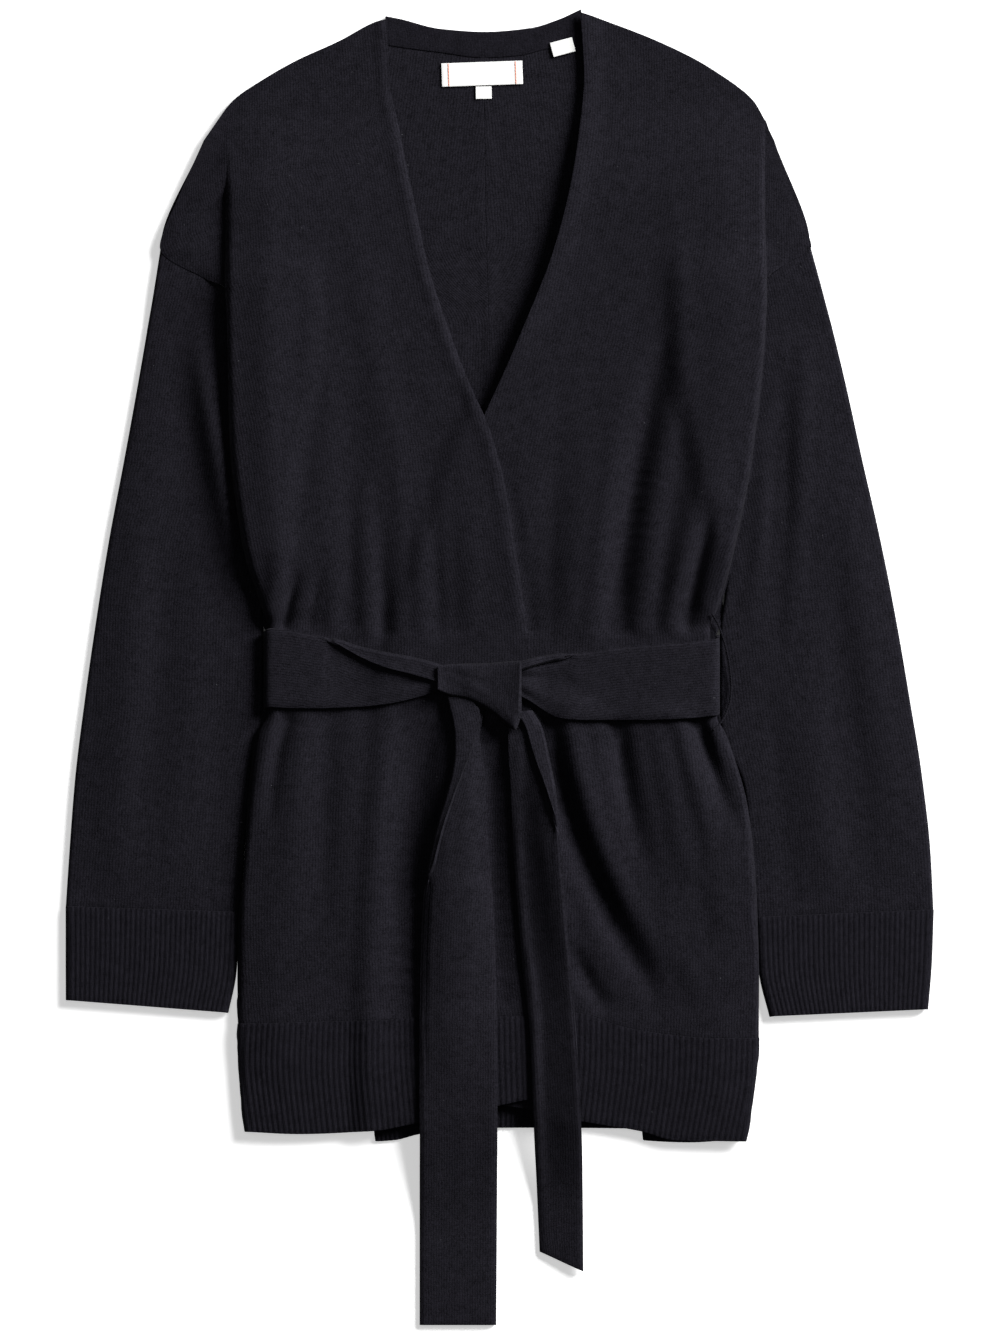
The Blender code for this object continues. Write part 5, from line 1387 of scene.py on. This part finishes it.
class CARDIGAN_OT_labels(bpy.types.Operator):
    """Sews in the bare labels, with the coral stitching at the neck label's ends."""
    bl_idname = "cardigan.labels"
    bl_label = "Labels"

    def execute(self, context):
        lying = wall("jersey") + GAP + LABEL_SLACK
        tab = self.slip("size_tab_cloth", SIZE_TAB, lying, None)
        stands_for(tab, "size_tab")
        x, y, width, height, turn = NECK_LABEL
        angle = math.radians(turn)
        stitches = []
        for side, name in ((-1, "right_label_stitch"), (1, "left_label_stitch")):
            along = side * (width / 2 - STITCH_INSET)
            table = (x + along * math.cos(angle), y + along * math.sin(angle),
                     STITCH_WIDTH, height - STITCH_ROOM, turn)
            stitch = self.slip(name, table, lying + wall("label") + STITCH_SLACK, None,
                               STITCH_WALL, "Coral stitching thread")
            stitches.append(stitch)
        label = self.slip("neck_label_cloth", NECK_LABEL, lying, [tab] + stitches)
        stands_for(label, "neck_label")
        care = self.slip("care_label_cloth", CARE_LABEL, wall("band") + GAP + LABEL_SLACK,
                         None)
        stands_for(care, "care_label")
        return {"FINISHED"}

    def slip(self, name, table, level, on_it, thickness=None, finish="Woven label satin"):
        """One folded slip of label, a little curled along its lower edge."""
        x, y, width, height, turn = table
        u = np.linspace(-0.5, 0.5, 25)[None, :]
        v = np.linspace(-0.5, 0.5, 13)[:, None]
        angle = math.radians(turn)
        place_x = x + u * width * math.cos(angle) - v * height * math.sin(angle)
        place_y = y + u * width * math.sin(angle) + v * height * math.cos(angle)
        z = level + 0.35 * np.clip(-v - 0.1, 0, 1)**2 * (1 + 0.5 * np.cos(7 * u))
        return cloth(name, place_x, place_y, z, thickness or wall("label"), finish,
                     rim=LABEL_RIM)


class CARDIGAN_OT_stage(bpy.types.Operator):
    """Sets the paper floor, the soft key light from the right and the camera."""
    bl_idname = "cardigan.stage"
    bl_label = "Stage"

    def execute(self, context):
        scene = context.scene
        bpy.ops.object.select_all(action="DESELECT")
        bpy.ops.mesh.primitive_plane_add(size=8.0, location=(0.0, 0.0, -0.0004))
        floor = context.object
        floor.name = "paper_floor"
        floor.data.materials.append(bpy.data.materials["Matt background paper"])
        bpy.ops.object.transform_apply(location=True)
        for name, place, size, power in LAMPS:
            bpy.ops.object.light_add(type="AREA", location=place)
            lamp = context.object
            lamp.name = name
            lamp.data.size = size
            lamp.data.energy = power
            lamp.rotation_euler = Vector(place).to_track_quat("Z", "Y").to_euler()
        world = bpy.data.worlds.new("studio")
        world.use_nodes = True
        sky = world.node_tree.nodes["Background"]
        sky.inputs["Color"].default_value = (1.0, 1.0, 1.0, 1.0)
        sky.inputs["Strength"].default_value = SKY_STRENGTH
        scene.world = world
        scene.view_settings.view_transform = "Standard"
        camera = bpy.data.cameras.new("camera")
        camera.lens = 150.0
        camera.sensor_width = 36.0
        eye = bpy.data.objects.new("camera", camera)
        away = FRAME_HEIGHT * MM * camera.lens / camera.sensor_width
        eye.location = (0.0, 0.0, away + FRAME_Z * MM)
        scene.collection.objects.link(eye)
        scene.camera = eye
        return {"FINISHED"}


PIECES = (
    CARDIGAN_OT_finishes, CARDIGAN_OT_labels, CARDIGAN_OT_back, CARDIGAN_OT_sleeves,
    CARDIGAN_OT_fronts, CARDIGAN_OT_belt, CARDIGAN_OT_knot, CARDIGAN_OT_thread_loop,
    CARDIGAN_OT_stage,
)


class CARDIGAN_PT_panel(bpy.types.Panel):
    """Lists the cardigan's pieces, sizes and colours."""
    bl_label = "Cardigan"
    bl_idname = "CARDIGAN_PT_panel"
    bl_space_type = "VIEW_3D"
    bl_region_type = "UI"
    bl_category = "Cardigan"

    def draw(self, context):
        layout = self.layout
        for group in (context.scene.cardigan_sizes, context.scene.cardigan_colours):
            box = layout.box()
            for key in group.bl_rna.properties.keys():
                if key not in ("rna_type", "name"):
                    box.prop(group, key)
        for piece in PIECES:
            layout.operator(piece.bl_idname)


CLASSES = (CardiganSizes, CardiganColours) + PIECES + (CARDIGAN_PT_panel,)


def register():
    """Adds the operators, the panel and the settings to Blender."""
    for item in CLASSES:
        bpy.utils.register_class(item)
    bpy.types.Scene.cardigan_sizes = PointerProperty(type=CardiganSizes)
    bpy.types.Scene.cardigan_colours = PointerProperty(type=CardiganColours)


def unregister():
    """Takes them out again."""
    del bpy.types.Scene.cardigan_colours
    del bpy.types.Scene.cardigan_sizes
    for item in reversed(CLASSES):
        bpy.utils.unregister_class(item)


def main():
    """Makes every piece in order."""
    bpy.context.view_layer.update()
    register()
    bpy.ops.object.select_all(action="DESELECT")
    for piece in PIECES:
        group, name = piece.bl_idname.split(".")
        getattr(getattr(bpy.ops, group), name)()


if __name__ == "__main__":
    main()
